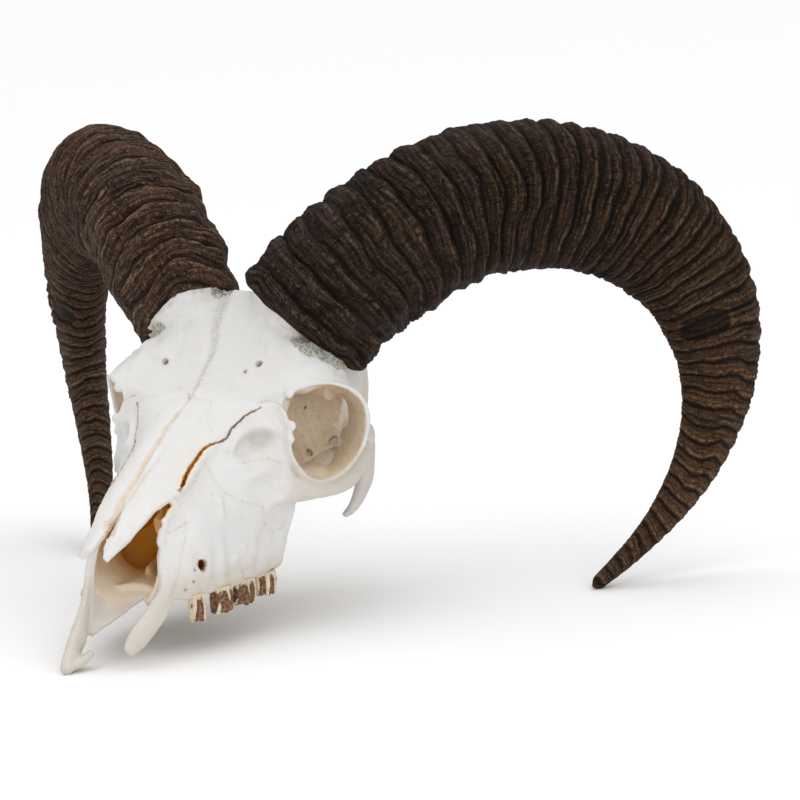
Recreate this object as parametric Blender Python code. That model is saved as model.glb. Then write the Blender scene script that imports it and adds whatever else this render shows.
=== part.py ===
"""Mouflon skull with both horns and the upper cheek teeth, lying on its right premaxilla and its two horn tips.

Lengths are in millimetres until place() turns them into metres. The animal's left is +X, its face points along -Y.
The origin is on the floor, under the middle of the whole object's box.
"""
import math

import bmesh
import bpy
import numpy as np
from mathutils import Vector

MM = 0.001
ORIGIN_Y = 30.74                # how far the box's middle lies behind the skull's own zero
GAP = 0.4                       # clearance between touching pieces

# horn: a tapering beam whose centre line bends and twists by a fixed law
HORN_BASE = (28.8, 33.1, 118.8)
HORN_AZIMUTH = 57.7             # degrees from +Y towards +X at the base
HORN_RISE = 47.3                # degrees above the floor at the base
HORN_ROLL = -102.4              # turn of the bending plane about the beam
HORN_LENGTH = 338.5
TIP_DROP = 4.3                  # how far the end of the horn sags to meet the floor
HORN_BEND = (5.681, 15.291, 10.629, -23.878)    # curvature in 1/m, a cubic in s from base 0 to tip 1
HORN_TWIST = (-1.829, 13.350, -23.975)          # torsion in 1/m, a quadratic in s
HORN_STATIONS = (-0.02, 0.0, 0.15, 0.30, 0.45, 0.60, 0.75, 0.90, 1.0)
HORN_HALF_DEPTH = (29.0, 30.5, 31.5, 30.6, 27.6, 21.8, 13.6, 6.3, 3.2)
HORN_HALF_WIDTH = (20.5, 22.0, 24.5, 23.0, 18.1, 12.6, 8.6, 4.9, 2.6)
HORN_SIDES = 12
INNER_NARROWING = 0.10          # the section is egg-shaped, narrower on the inner curve
HORN_RIDGES = 36
HORN_START = -0.012             # the sheath's rim, a little below the base point
RIDGE_HEIGHT = 1.1
RIDGED_LENGTH = 0.90            # share of the beam that carries ridges
RIDGE_SPACING_CHANGE = 0.2      # how unevenly the ridges are spaced, as a share of their pitch
RIDGE_HEIGHT_CHANGE = 0.3       # how unevenly high they are
TIP_STATIONS = ((0.93, 0.2), (0.965, 0.0), (0.99, 0.0), (1.0, -0.8))

# teeth: name, distance from the middle plane, place along the row, length, width and lowest point
GUM_HEIGHT = 22.5
SOCKET_DEPTH = 2.0
TOOTH_SIDES = 8
TOOTH_ROUNDING = 1.08           # the corners stand a little outside the stated half size
TOOTH_SIZES = (0.92, 1.0, 0.86)  # size at the root, the middle and the worn end
TOOTH_WAIST = 0.82              # pinch between the two lobes of a long tooth
LOBED_LENGTH = 9.0              # teeth longer than this have two lobes
LEFT_TEETH = (
    ("premolar_2", 24.0, -53.5, 6.5, 6.0, 11.0),
    ("molar_1", 26.0, -39.0, 12.0, 8.5, 12.0),
    ("molar_2", 27.3, -25.5, 12.5, 9.0, 12.5),
    ("molar_3", 28.6, -11.5, 13.5, 9.0, 13.5),
)
RIGHT_TEETH = (
    ("premolar_1", 22.5, -60.0, 5.5, 5.5, 14.0),
    ("premolar_2", 24.0, -53.5, 6.5, 6.0, 12.0),
    ("premolar_3", 25.0, -46.8, 5.8, 7.0, 11.0),
    ("molar_1", 26.0, -37.0, 12.0, 8.5, 10.0),
    ("molar_2", 27.3, -24.0, 12.5, 9.0, 8.5),
    ("molar_3", 28.6, -10.5, 13.0, 9.0, 10.0),
)

# small holes on each side: mouth, end and radius
HOLES = (
    ((21.1, 0.7, 108), (20, 12, 98), 2.1),
    ((30, -56, 36), (21, -46, 34), 2.1),
)

# the pit for the scent gland in front of each eye: centre, half extents, depth and the way it is pressed in
PIT_CENTRE = (31.5, -12.5, 80)
PIT_REACH = (11, 11, 9.5)
PIT_DEPTH = 4.0
PIT_INWARD = (-0.6, 0.8)

# the hole for the spinal cord: mouth, end and half sizes
FORAMEN_MAGNUM = [(0, 110, 62), (0, 70, 70)]
FORAMEN_SIZES = [(7, 6), (6, 5.5)]

# the floor takes a sliver off the tip that the skull rests on: half width, front, back and depth of the cut
FLOOR_CUT = (40, -120, -60, -5)

# voxel size of the joined bone, how often it is softened, and how many triangles are kept
BONE_VOXEL = 1.1
BONE_SOFTENING = 4
BONE_TRIANGLES = 4700
SHARP_ANGLE = math.radians(40)  # edges that turn more than this stay crisp

BONE_COLOUR = (0.86, 0.84, 0.80)
HORN_COLOUR = (0.10, 0.065, 0.045)
TOOTH_COLOUR = (0.45, 0.34, 0.24)


def place(point):
    """A point in skull millimetres to metres in the part's frame."""
    return Vector((point[0] * MM, (point[1] - ORIGIN_Y) * MM, point[2] * MM))


def clear_scene():
    for obj in list(bpy.data.objects):
        bpy.data.objects.remove(obj, do_unlink=True)


def make_material(name, colour, roughness):
    material = bpy.data.materials.new(name)
    material.use_nodes = True
    shader = material.node_tree.nodes["Principled BSDF"]
    shader.inputs["Base Color"].default_value = (*colour, 1.0)
    shader.inputs["Roughness"].default_value = roughness
    shader.inputs["Metallic"].default_value = 0.0
    return material


def make_object(name, verts, faces, material=None):
    mesh = bpy.data.meshes.new(name)
    mesh.from_pydata([tuple(v) for v in verts], [], faces)
    mesh.update()
    face_outwards(mesh)
    obj = bpy.data.objects.new(name, mesh)
    bpy.context.collection.objects.link(obj)
    if material:
        mesh.materials.append(material)
    return obj


def face_outwards(mesh):
    bm = bmesh.new()
    bm.from_mesh(mesh)
    bmesh.ops.recalc_face_normals(bm, faces=bm.faces)
    bm.to_mesh(mesh)
    bm.free()


def shade_round(mesh):
    mesh.shade_smooth()
    mesh.set_sharp_from_angle(angle=SHARP_ANGLE)


def smooth_through(keys, steps, closed=False):
    """Points of a Catmull-Rom curve through the keys, with steps points to a span."""
    keys = np.asarray(keys, float)
    count = len(keys)
    spans = count if closed else count - 1
    out = []
    for i in range(spans):
        if closed:
            a, b, c, d = (keys[(i + k) % count] for k in (-1, 0, 1, 2))
        else:
            b, c = keys[i], keys[i + 1]
            a = keys[i - 1] if i > 0 else 2 * b - c
            d = keys[i + 2] if i + 2 < count else 2 * c - b
        for k in range(steps):
            t = k / steps
            out.append(0.5 * (2 * b + (c - a) * t + (2 * a - 5 * b + 4 * c - d) * t * t
                              + (3 * b - a - 3 * c + d) * t ** 3))
    if not closed:
        out.append(keys[-1])
    return np.array(out)


class Body:
    """Closed shapes in skull millimetres, gathered as one list of points and faces."""

    def __init__(self):
        self.verts = []
        self.faces = []

    def add(self, verts, faces):
        start = len(self.verts)
        self.verts.extend([tuple(v) for v in verts])
        self.faces.extend([tuple(start + i for i in f) for f in faces])

    def both_sides(self, verts, faces):
        self.add(verts, faces)
        self.add([(-v[0], v[1], v[2]) for v in verts], [tuple(reversed(f)) for f in faces])


def loft(rings):
    """A closed body through rings of equal size, with a cap at each end."""
    count = len(rings[0])
    verts = [tuple(p) for ring in rings for p in ring]
    faces = []
    for i in range(len(rings) - 1):
        for j in range(count):
            k = (j + 1) % count
            faces.append((i * count + j, i * count + k, (i + 1) * count + k, (i + 1) * count + j))
    first, last = len(verts), len(verts) + 1
    verts.append(tuple(np.mean(rings[0], axis=0)))
    verts.append(tuple(np.mean(rings[-1], axis=0)))
    base = (len(rings) - 1) * count
    for j in range(count):
        k = (j + 1) % count
        faces.append((first, k, j))
        faces.append((last, base + j, base + k))
    return verts, faces


def plate(rows, thickness, steps=5):
    """A bone plate: a smooth sheet through rows of keys, thickened to its back.

    The back is on the side that the cross product of row direction and column direction points to.
    """
    rows = [smooth_through(row, steps) for row in rows]
    grid = smooth_through(np.array(rows).reshape(len(rows), -1), steps)
    grid = grid.reshape(grid.shape[0], -1, 3)
    along = np.gradient(grid, axis=0)
    across = np.gradient(grid, axis=1)
    normal = np.cross(along, across)
    normal /= np.linalg.norm(normal, axis=2, keepdims=True) + 1e-9
    back = grid + normal * thickness
    n, m = grid.shape[:2]
    verts = list(grid.reshape(-1, 3)) + list(back.reshape(-1, 3))
    faces = []
    for i in range(n - 1):
        for j in range(m - 1):
            a, b, c, d = i * m + j, (i + 1) * m + j, (i + 1) * m + j + 1, i * m + j + 1
            faces.append((a, b, c, d))
            faces.append((n * m + d, n * m + c, n * m + b, n * m + a))
    edge = [i * m for i in range(n)] + [(n - 1) * m + j for j in range(1, m)]
    edge += [i * m + m - 1 for i in range(n - 2, -1, -1)] + [j for j in range(m - 2, 0, -1)]
    for i, a in enumerate(edge):
        b = edge[(i + 1) % len(edge)]
        faces.append((b, a, n * m + a, n * m + b))
    return verts, faces


def bar(path, sizes, up=(0, 0, 1), steps=5, sides=12):
    """A bar of oval section along a smooth path; sizes are (half width, half height) at each key."""
    points = smooth_through(path, steps)
    size = smooth_through(sizes, steps)
    rings = []
    for i, p in enumerate(points):
        ahead = points[min(i + 1, len(points) - 1)] - points[max(i - 1, 0)]
        ahead /= np.linalg.norm(ahead)
        across = np.cross(ahead, np.asarray(up, float))
        across /= np.linalg.norm(across)
        rise = np.cross(across, ahead)
        ring = []
        for j in range(sides):
            a = 2 * math.pi * j / sides
            ring.append(p + across * size[i][0] * math.cos(a) + rise * size[i][1] * math.sin(a))
        rings.append(ring)
    return loft(rings)


def sections(stations, steps=4, corner_steps=4):
    """A body symmetric about the middle plane: each station is (y, half outline from top to bottom)."""
    rings = []
    for y, half in stations:
        other = [(-x, z) for x, z in half[-2:0:-1]]
        ring = smooth_through(list(half) + other, corner_steps, closed=True)
        rings.append([(x, y, z) for x, z in ring])
    flat = smooth_through(np.array(rings).reshape(len(rings), -1), steps)
    return loft(flat.reshape(flat.shape[0], -1, 3))


def ball(centre, radii, rings=8, sides=12):
    rows = []
    for i in range(1, rings):
        a = math.pi * i / rings
        row = []
        for j in range(sides):
            b = 2 * math.pi * j / sides
            row.append((centre[0] + radii[0] * math.sin(a) * math.cos(b),
                        centre[1] + radii[1] * math.sin(a) * math.sin(b),
                        centre[2] + radii[2] * math.cos(a)))
        rows.append(row)
    verts, faces = loft(rows)
    verts[-2] = (centre[0], centre[1], centre[2] + radii[2])
    verts[-1] = (centre[0], centre[1], centre[2] - radii[2])
    return verts, faces


def horn_frames(samples=240):
    """Centre line of the left horn: station s, point, forward, inward and side directions."""
    az, el, roll = (math.radians(v) for v in (HORN_AZIMUTH, HORN_RISE, HORN_ROLL))
    forward = np.array([math.sin(az) * math.cos(el), math.cos(az) * math.cos(el), math.sin(el)])
    side = np.cross(forward, (0, 0, 1))
    side /= np.linalg.norm(side)
    inward = math.cos(roll) * side + math.sin(roll) * np.cross(side, forward)
    point = np.array(HORN_BASE, float)
    step = HORN_LENGTH / samples
    frames = []
    for i in range(samples + 1):
        s = i / samples
        beside = np.cross(forward, inward)
        frames.append((s, point.copy(), forward.copy(), inward.copy(), beside))
        bend = sum(k * s ** n for n, k in enumerate(HORN_BEND)) * MM
        twist = sum(k * s ** n for n, k in enumerate(HORN_TWIST)) * MM
        point = point + step * forward
        turned = forward + step * bend * inward
        inward = inward + step * (-bend * forward + twist * beside)
        forward = turned / np.linalg.norm(turned)
        inward = inward - forward * np.dot(inward, forward)
        inward /= np.linalg.norm(inward)
    return frames


FRAMES = horn_frames()


def horn_at(s):
    """Point and directions at station s; below the base the beam runs straight back."""
    if s <= 0:
        _, point, forward, inward, beside = FRAMES[0]
        return point + forward * s * HORN_LENGTH, forward, inward, beside
    i = min(int(s * (len(FRAMES) - 1)), len(FRAMES) - 2)
    t = s * (len(FRAMES) - 1) - i
    a, b = FRAMES[i], FRAMES[i + 1]
    mixed = [a[k] * (1 - t) + b[k] * t for k in (1, 2, 3, 4)]
    for k in (1, 2, 3):
        mixed[k] /= np.linalg.norm(mixed[k])
    sag = max(0.0, (s - 0.7) / 0.3) ** 2
    mixed[0] = mixed[0] - np.array((0, 0, TIP_DROP * sag))
    return tuple(mixed)


def horn_ring(s, grow=0.0, sides=HORN_SIDES):
    """One cross-section: egg-shaped, narrower on the inner curve."""
    point, _, inward, beside = horn_at(s)
    depth = np.interp(s, HORN_STATIONS, HORN_HALF_DEPTH) + grow
    width = np.interp(s, HORN_STATIONS, HORN_HALF_WIDTH) + grow
    ring = []
    for j in range(sides):
        a = 2 * math.pi * (j + 0.5) / sides
        narrow = 1 - INNER_NARROWING * math.cos(a)
        ring.append(point + inward * depth * math.cos(a) + beside * width * narrow * math.sin(a))
    return ring


def add_face(bone):
    """Side of the face: maxilla, lacrimal and the front of the cheek bone, from the nose to the eye's rim."""
    rows = [
        [(15.3, -59, 52), (15.8, -62, 46.5), (16, -64.5, 42), (16.5, -66.5, 36), (16.5, -67, 31), (16.5, -67.5, 26)],
        [(15.3, -53, 57.5), (19.5, -53, 50), (21.5, -57, 42), (22, -60.5, 35), (21.7, -62.5, 29.5), (21, -63.5, 24)],
        [(16, -44.5, 63), (20, -47, 56), (24, -50, 48.5), (26, -52, 40), (26.3, -54, 31), (24, -57.5, 22.5)],
        [(14.3, -37.5, 67), (19, -38, 62), (24, -41, 54), (27, -43, 44), (28.3, -45, 33), (27.5, -46, 23)],
        [(14, -30, 74.5), (19.5, -30, 69.5), (25, -31, 61), (28.5, -32, 50), (30, -33, 37), (29.5, -32, 23)],
        [(15.5, -19, 83), (22, -20, 78.5), (28, -22, 69), (31.5, -23, 56), (32, -23, 40), (31, -21, 23.5)],
        [(20, -7.5, 91), (26, -10.5, 86.5), (31.5, -12, 75.5), (35, -12, 62), (34.3, -10.5, 45), (32.5, -11, 24)],
        [(35.5, -4.5, 93.5), (38.5, -5, 88.5), (40.8, -5.5, 80), (42.5, -5.5, 69), (40, -1.5, 50.5), (34, -4.5, 27)],
    ]
    bone.both_sides(*plate(rows, 3.4))
    bone.both_sides(*bar([(19.5, -62, 27), (22.5, -52, 26.5), (25, -36, 27), (26.5, -18, 27.5), (28.5, -3, 29)],
                         [(3, 3), (4, 4), (5, 4.5), (6, 5), (6, 5.5)]))
    bone.both_sides(*ball((29.5, -6, 41), (6, 6, 15)))


def add_nose(bone):
    """The two nasal bones, which end in free points over the nose opening."""
    both = [
        [(0.3, -3, 95), (7, -5, 94), (13, -7, 91.5), (20.5, -7, 91)],
        [(0.4, -20, 84.8), (6, -20, 84.3), (11, -19.5, 83.6), (17.5, -18.5, 82.6)],
        [(0.5, -34, 75.2), (5.5, -34, 75), (10, -33, 74.4), (16, -31, 72.8)],
        [(0.7, -48, 65.8), (5.5, -48, 65.7), (10, -47.5, 64.8), (16, -46, 62.4)],
    ]
    left = both + [
        [(0.9, -60, 58.8), (5, -60.5, 58.8), (9.5, -61, 57.6), (12.4, -60.5, 56.6)],
        [(1.6, -71, 53.4), (4.5, -72, 53.2), (8, -72, 52), (10.8, -71, 50.6)],
        [(3.2, -79, 47.6), (5, -80, 47.4), (7, -80, 46.8), (8.8, -79.5, 46)],
        [(5, -85.2, 42.4), (5.2, -85.4, 42.2), (5.5, -85.5, 42), (5.8, -85.3, 41.8)],
    ]
    right = [[(-x, y, z) for x, y, z in row] for row in both] + [
        [(-1, -61, 57), (-5, -61.5, 57), (-9, -61, 57), (-12.2, -60, 57)],
        [(-2, -71.5, 50), (-5, -72, 50), (-8, -72, 49), (-10.5, -71.5, 48)],
        [(-3.8, -80, 44), (-5.5, -80.8, 43.6), (-7.2, -80.6, 42.4), (-8.6, -80, 41)],
    ]
    bone.add(*plate(left, 2.6))
    bone.add(*plate(right, -2.6))
    bone.add(*bar([(0, -4, 91), (0, -34, 72.4), (0, -62, 54.6)], [(3, 1.4), (2.6, 1.2), (2.2, 1)]))


def add_forehead(bone):
    """The frontal bones between the nose, the eyes and the horns."""
    rows = [
        [(0, -7, 91.5), (8, -8, 91), (15, -8, 90.5), (21, -6.5, 92.5), (28, -6.5, 93.3), (35.5, -5, 94)],
        [(0, 5, 104.5), (12, 4.5, 104.6), (21, 4.5, 104.4), (31, 2.5, 102.6), (40, -0.5, 99.8), (46, -1.5, 98.8)],
        [(0, 17, 118), (11, 14.8, 117.4), (22, 12.5, 115.5), (34, 10.5, 111.5), (46, 8.5, 105.5), (54, 7, 100)],
        [(0, 30, 131), (7, 28, 129.8), (16, 21, 126.3), (33, 17.5, 115.5), (46, 24, 106), (57, 17, 96)],
    ]
    bone.both_sides(*plate(rows, 6))
    bone.both_sides(*bar([(5, 14, 106), (18, 17, 104), (36, 17, 98), (50, 15, 94)],
                         [(9, 8), (12, 8), (12, 8), (7, 5)], up=(0, 1, 1)))
    core = []
    for along, grow in ((-36, -3), (-20, -3.5), (-10, -4), (-2, -4.5)):
        core.append(horn_ring(along / HORN_LENGTH, grow, 16))
    bone.both_sides(*loft(core))


def add_eye_sockets(bone):
    """Raised rim of each socket, the bar behind it and the cheek arch that runs back to the ear."""
    rim = [(37, -4.5, 92.5), (42.5, -2.5, 96.5), (50, 2, 98.5), (55, 9, 97), (58.5, 15.5, 93), (60, 19.5, 87.5),
           (60, 21, 80.5), (58.5, 20.5, 73), (56, 16.5, 66), (53, 10, 61), (50, 2, 59.2), (46.5, -3.5, 61.8),
           (43.5, -6.5, 67), (41.3, -6.7, 74), (41, -6, 81), (38.5, -5, 87)]
    ring = smooth_through(rim, 3, closed=True)
    middle = ring.mean(axis=0)
    loops = []
    for out, depth in ((1.6, 0.2), (0.2, -0.6), (-1.4, 0.2), (-1.8, 1.0), (1.2, 1.0)):
        loop = []
        for p in ring:
            away = p - middle
            away /= np.linalg.norm(away)
            behind = min(1.0, max(0.0, (p[1] + 2) / 16))
            inward = np.array((-5.0 - 6.0 * behind, 3.0 + 5.0 * behind, 0.0))
            loop.append(p + away * out + inward * depth * 0.9)
        loops.append(loop)
    count = len(ring)
    verts = [tuple(p) for loop in loops for p in loop]
    faces = []
    for i in range(len(loops)):
        for j in range(count):
            k, n = (j + 1) % count, (i + 1) % len(loops)
            faces.append((i * count + j, i * count + k, n * count + k, n * count + j))
    bone.both_sides(verts, faces)
    bone.both_sides(*bar([(33, -18, 56), (39, -6.5, 57.5), (45.5, 3, 56.2), (50, 11, 55.8), (52, 20, 57.5), (50, 31, 60),
                          (45, 43, 64), (36, 52, 70)],
                         [(4, 6), (5, 6.5), (4, 5), (3.5, 4.4), (3, 5), (2.6, 5), (3, 4.5), (5, 4.5)]))


def add_brain_case(bone):
    """Braincase, the wall between the eye sockets, the base of the skull and the back of the head."""
    bone.add(*sections([
        (-24, [(0, 78), (9, 74), (11, 68), (9, 60), (0, 56)]),
        (-12, [(0, 89), (19, 87), (23, 76), (15, 63), (0, 58)]),
        (0, [(0, 98), (24, 95), (23, 79), (15, 64), (0, 59)]),
        (10, [(0, 104), (22, 99), (19, 82), (14, 66), (0, 60)]),
        (26, [(0, 116), (27, 104), (21, 84), (15, 68), (0, 62)]),
        (40, [(0, 122), (30, 106), (30, 86), (20, 68), (0, 62)]),
        (56, [(0, 124), (30, 110), (34, 88), (25, 68), (0, 60)]),
        (72, [(0, 117), (26, 108), (33, 88), (26, 66), (0, 58)]),
        (84, [(0, 106), (20, 101), (26, 84), (20, 66), (0, 60)]),
    ]))
    bone.add(*bar([(0, 86, 60), (0, 70, 58), (0, 50, 60), (0, 30, 62), (0, 5, 60), (0, -18, 56)],
                  [(11, 5), (11, 5.5), (8, 5.5), (6.5, 5), (6, 7), (5, 9)]))
    bone.both_sides(*bar([(9, 32, 60), (10, 22, 50), (11, 8, 42), (13, -2, 34)],
                         [(1.8, 7), (1.8, 12), (2, 13), (3, 10)], up=(0, 0.3, 1)))
    bone.both_sides(*ball((17, 58, 54), (8, 11, 9)))
    bone.both_sides(*bar([(24, 62, 64), (31, 63, 66), (38, 64, 67)], [(5, 5), (4.5, 4.5), (4, 4)]))
    bone.both_sides(*bar([(27, 70, 74), (31, 70, 62), (31, 70, 50), (30, 68, 42.5), (29, 65, 37), (28.2, 61.5, 34)],
                         [(6, 5), (6, 3.4), (5.2, 3), (4.2, 2.6), (3, 2.2), (1.4, 1.4)], up=(1, 0, 0)))
    bone.both_sides(*bar([(11, 76, 62), (13, 86, 60), (12.5, 94, 61)], [(6, 7), (7.5, 9.5), (5, 7)]))
    bone.add(*bar([(-33, 74, 86), (-25, 82, 100), (0, 88, 108), (25, 82, 100), (33, 74, 86)],
                  [(3, 4), (3.5, 5), (4, 6), (3.5, 5), (3, 4)], up=(0, 1, 0.2)))


def add_palate(bone):
    """Hard palate, the floor of the nose and the scroll bones inside it."""
    rows = [
        [(0, -58, 25), (10, -60, 24), (20, -60, 25)],
        [(0, -30, 29), (12, -30, 28), (24, -30, 27)],
        [(0, 4, 33), (12, 4, 31), (25, 2, 30)],
    ]
    bone.both_sides(*plate(rows, -3))
    bone.both_sides(*bar([(8, -52, 48), (9, -42, 53), (9.5, -28, 60), (9, -14, 68)],
                         [(2.5, 6), (4, 9), (5.5, 12), (6, 14)], up=(0, -0.4, 1)))
    bone.add(*bar([(0, -50, 28), (0, -30, 32), (0, -8, 42)], [(1.6, 5), (2, 8), (3, 14)]))


def add_nose_tips(bone):
    """The premaxillae: two long blades that carry no teeth and end bare; the left one is chipped short."""
    bone.add(*bar([(18.9, -63.5, 34), (18.9, -65.8, 27), (17.3, -69.8, 21.5), (15.2, -74.4, 16.2), (13, -80, 10.8),
                   (11.3, -84.3, 7.2)],
                  [(3.6, 1.7), (3.9, 1.8), (4.3, 2.2), (4.5, 2.4), (4.2, 2.2), (2.2, 1.5)], up=(0.8, -0.42, 0.04)))
    bone.add(*bar([(-17.8, -64.5, 40), (-17.3, -69.5, 30), (-16.5, -73.5, 22), (-14.8, -80, 14), (-12.3, -88, 7.5),
                   (-10, -94.5, 2.5), (-9, -97, 0.9)],
                  [(4, 2.2), (4.5, 2.5), (4.8, 2.7), (4.8, 2.8), (4.5, 2.8), (3.4, 2.5), (1.8, 1.6)],
                  up=(-0.8, -0.42, 0.04)))
    bone.add(*bar([(-9, -95.5, 2.4), (-6.5, -90, 3.8), (-4.8, -84.5, 6.3)], [(2.2, 1.8), (2.2, 1.8), (1.8, 1.5)]))
    floor = [
        [(-18, -60, 40), (-14, -62, 30), (-8, -58, 24), (3, -56, 23)],
        [(-17.5, -66, 36), (-14, -69, 26), (-8, -66, 18.5), (4, -62, 21.5)],
        [(-16, -70, 30), (-13, -73.5, 20), (-10.2, -76.5, 12), (-9.2, -78, 10)],
    ]
    bone.add(*plate(floor, 2.2))


def cut_away(obj, name, verts, faces):
    """A Boolean difference, with the shape in skull millimetres kept as a hidden cutter."""
    cutter = make_object(name, [place(v) for v in verts], faces)
    cutter.hide_render = True
    cutter.display_type = "WIRE"
    cut = obj.modifiers.new(name, "BOOLEAN")
    cut.operation = "DIFFERENCE"
    cut.solver = "EXACT"
    cut.object = cutter


def join_bone(bone, material):
    """Melts the overlapping shapes into one skin, keeps the outer skin, and thins it out."""
    raw = make_object("raw_bone", [place(v) for v in bone.verts], bone.faces)
    melt = raw.modifiers.new("melt", "REMESH")
    melt.mode = "VOXEL"
    melt.voxel_size = BONE_VOXEL * MM
    soften = raw.modifiers.new("soften", "SMOOTH")
    soften.factor = 0.5
    soften.iterations = BONE_SOFTENING
    graph = bpy.context.evaluated_depsgraph_get()
    skin = bpy.data.meshes.new_from_object(raw.evaluated_get(graph))
    bpy.data.objects.remove(raw, do_unlink=True)
    keep_largest_skin(skin)
    press_pits(skin)
    shade_round(skin)
    skin.name = "cranium"
    skin.materials.clear()
    skin.materials.append(material)
    obj = bpy.data.objects.new("cranium", skin)
    bpy.context.collection.objects.link(obj)
    triangles = sum(len(p.vertices) - 2 for p in skin.polygons)
    thin = obj.modifiers.new("thin", "DECIMATE")
    thin.ratio = BONE_TRIANGLES / triangles
    return obj


def press_pits(skin):
    """The pit for the scent gland in front of each eye, pressed into the skin."""
    for vert in skin.vertices:
        x, y, z = vert.co.x / MM, vert.co.y / MM + ORIGIN_Y, vert.co.z / MM
        offsets = (abs(x) - PIT_CENTRE[0], y - PIT_CENTRE[1], z - PIT_CENTRE[2])
        reach = math.sqrt(sum((offset / size) ** 2 for offset, size in zip(offsets, PIT_REACH)))
        if reach < 1:
            push = PIT_DEPTH * (1 - reach * reach) ** 2 * MM
            vert.co.x += math.copysign(PIT_INWARD[0] * push, x)
            vert.co.y += PIT_INWARD[1] * push


def keep_largest_skin(mesh):
    bm = bmesh.new()
    bm.from_mesh(mesh)
    left = set(bm.verts)
    islands = []
    while left:
        stack = [left.pop()]
        island = list(stack)
        while stack:
            for edge in stack.pop().link_edges:
                for other in edge.verts:
                    if other in left:
                        left.remove(other)
                        stack.append(other)
                        island.append(other)
        islands.append(island)
    islands.sort(key=len)
    bmesh.ops.delete(bm, geom=[v for island in islands[:-1] for v in island], context="VERTS")
    bm.to_mesh(mesh)
    bm.free()


def make_horn(name, side, material):
    """One sheath: crest and valley rings up the beam, ridges fading towards the tip, the tip worn flat."""
    stations = [HORN_START]
    heights = [0.0]
    pitch = RIDGED_LENGTH / HORN_RIDGES
    for i in range(HORN_RIDGES):
        start = HORN_START + pitch * (i + RIDGE_SPACING_CHANGE * math.sin(2.3 * i))
        fade = (1 - 0.8 * (i / HORN_RIDGES) ** 2) * (1 + RIDGE_HEIGHT_CHANGE * math.sin(1.7 * i))
        stations += [start + 0.4 * pitch, start + 0.9 * pitch]
        heights += [RIDGE_HEIGHT * fade, -0.4 * RIDGE_HEIGHT * fade]
    stations += [station for station, _ in TIP_STATIONS]
    heights += [height for _, height in TIP_STATIONS]
    rings = [horn_ring(s, h) for s, h in zip(stations, heights)]
    verts, faces = loft(rings)
    verts = [(side * v[0], v[1], v[2]) for v in verts]
    obj = make_object(name, [place(v) for v in verts], faces, material)
    bm = bmesh.new()
    bm.from_mesh(obj.data)
    everything = list(bm.verts) + list(bm.edges) + list(bm.faces)
    cut = bmesh.ops.bisect_plane(bm, geom=everything, dist=1e-7, plane_co=(0, 0, 0), plane_no=(0, 0, -1),
                                 clear_outer=True)
    rim = [e for e in cut["geom_cut"] if isinstance(e, bmesh.types.BMEdge)]
    bmesh.ops.contextual_create(bm, geom=rim)
    bmesh.ops.recalc_face_normals(bm, faces=bm.faces)
    bm.to_mesh(obj.data)
    bm.free()
    shade_round(obj.data)


def tooth_shape(side, centre, length, width, top, bottom, grow=0.0):
    """A cheek tooth: two lobes side by side, a little narrower at the worn end."""
    heights = (top + grow, 0.5 * (top + bottom), bottom - grow)
    rings = []
    for z, size in zip(heights, TOOTH_SIZES):
        ring = []
        for k in range(TOOTH_SIDES):
            a = 2 * math.pi * (k + 0.5) / TOOTH_SIDES
            near_middle = abs(math.sin(a)) > abs(math.cos(a))
            waist = TOOTH_WAIST if near_middle and length > LOBED_LENGTH else 1.0
            across = (0.5 * width * size * waist + grow) * TOOTH_ROUNDING
            along = (0.5 * length * size + grow) * TOOTH_ROUNDING
            ring.append((side * (centre[0] + across * math.cos(a)), centre[1] + along * math.sin(a), z))
        rings.append(ring)
    return loft(rings)


def make_teeth(cranium, material):
    """Upper cheek teeth in shallow sockets; the animal's left row has lost one premolar."""
    for side, row in ((1, LEFT_TEETH), (-1, RIGHT_TEETH)):
        for name, x, y, length, width, bottom in row:
            top = GUM_HEIGHT + SOCKET_DEPTH
            verts, faces = tooth_shape(side, (x, y), length, width, top, bottom)
            label = ("left_" if side > 0 else "right_") + name
            tooth = make_object(label, [place(v) for v in verts], faces, material)
            shade_round(tooth.data)
            verts, faces = tooth_shape(side, (x, y), length, width, top, bottom, GAP)
            cut_away(cranium, label + "_socket", verts, faces)


def build():
    clear_scene()
    bone_material = make_material("bone", BONE_COLOUR, 0.55)
    horn_material = make_material("horn", HORN_COLOUR, 0.6)
    tooth_material = make_material("tooth", TOOTH_COLOUR, 0.4)
    bone = Body()
    for part in (add_face, add_nose, add_forehead, add_eye_sockets, add_brain_case, add_palate, add_nose_tips):
        part(bone)
    cranium = join_bone(bone, bone_material)
    make_teeth(cranium, tooth_material)
    for side, word in ((1, "left"), (-1, "right")):
        make_horn("horn_" + word, side, horn_material)
        start = HORN_START - GAP / HORN_LENGTH
        room = [horn_ring(s, 1.6) for s in (start, 0.02, 0.06, 0.12)]
        verts, faces = loft(room)
        cut_away(cranium, "horn_room_" + word, [(side * v[0], v[1], v[2]) for v in verts], faces)
    for side in (1, -1):
        for n, (mouth, end, radius) in enumerate(HOLES):
            path = [(side * mouth[0], *mouth[1:]), (side * end[0], *end[1:])]
            verts, faces = bar(path, [(radius, radius), (0.7 * radius, 0.7 * radius)], up=(0.3, 0.2, 1), steps=1,
                               sides=7)
            cut_away(cranium, ("left" if side > 0 else "right") + "_hole_%d" % n, verts, faces)
    verts, faces = bar(FORAMEN_MAGNUM, FORAMEN_SIZES, steps=1, sides=10)
    cut_away(cranium, "foramen_magnum", verts, faces)
    half_width, front, back, depth = FLOOR_CUT
    corners = ((-half_width, front), (half_width, front), (half_width, back), (-half_width, back))
    verts, faces = loft([[(x, y, z) for x, y in corners] for z in (depth, 0)])
    cut_away(cranium, "floor_level", verts, faces)


build()
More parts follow.
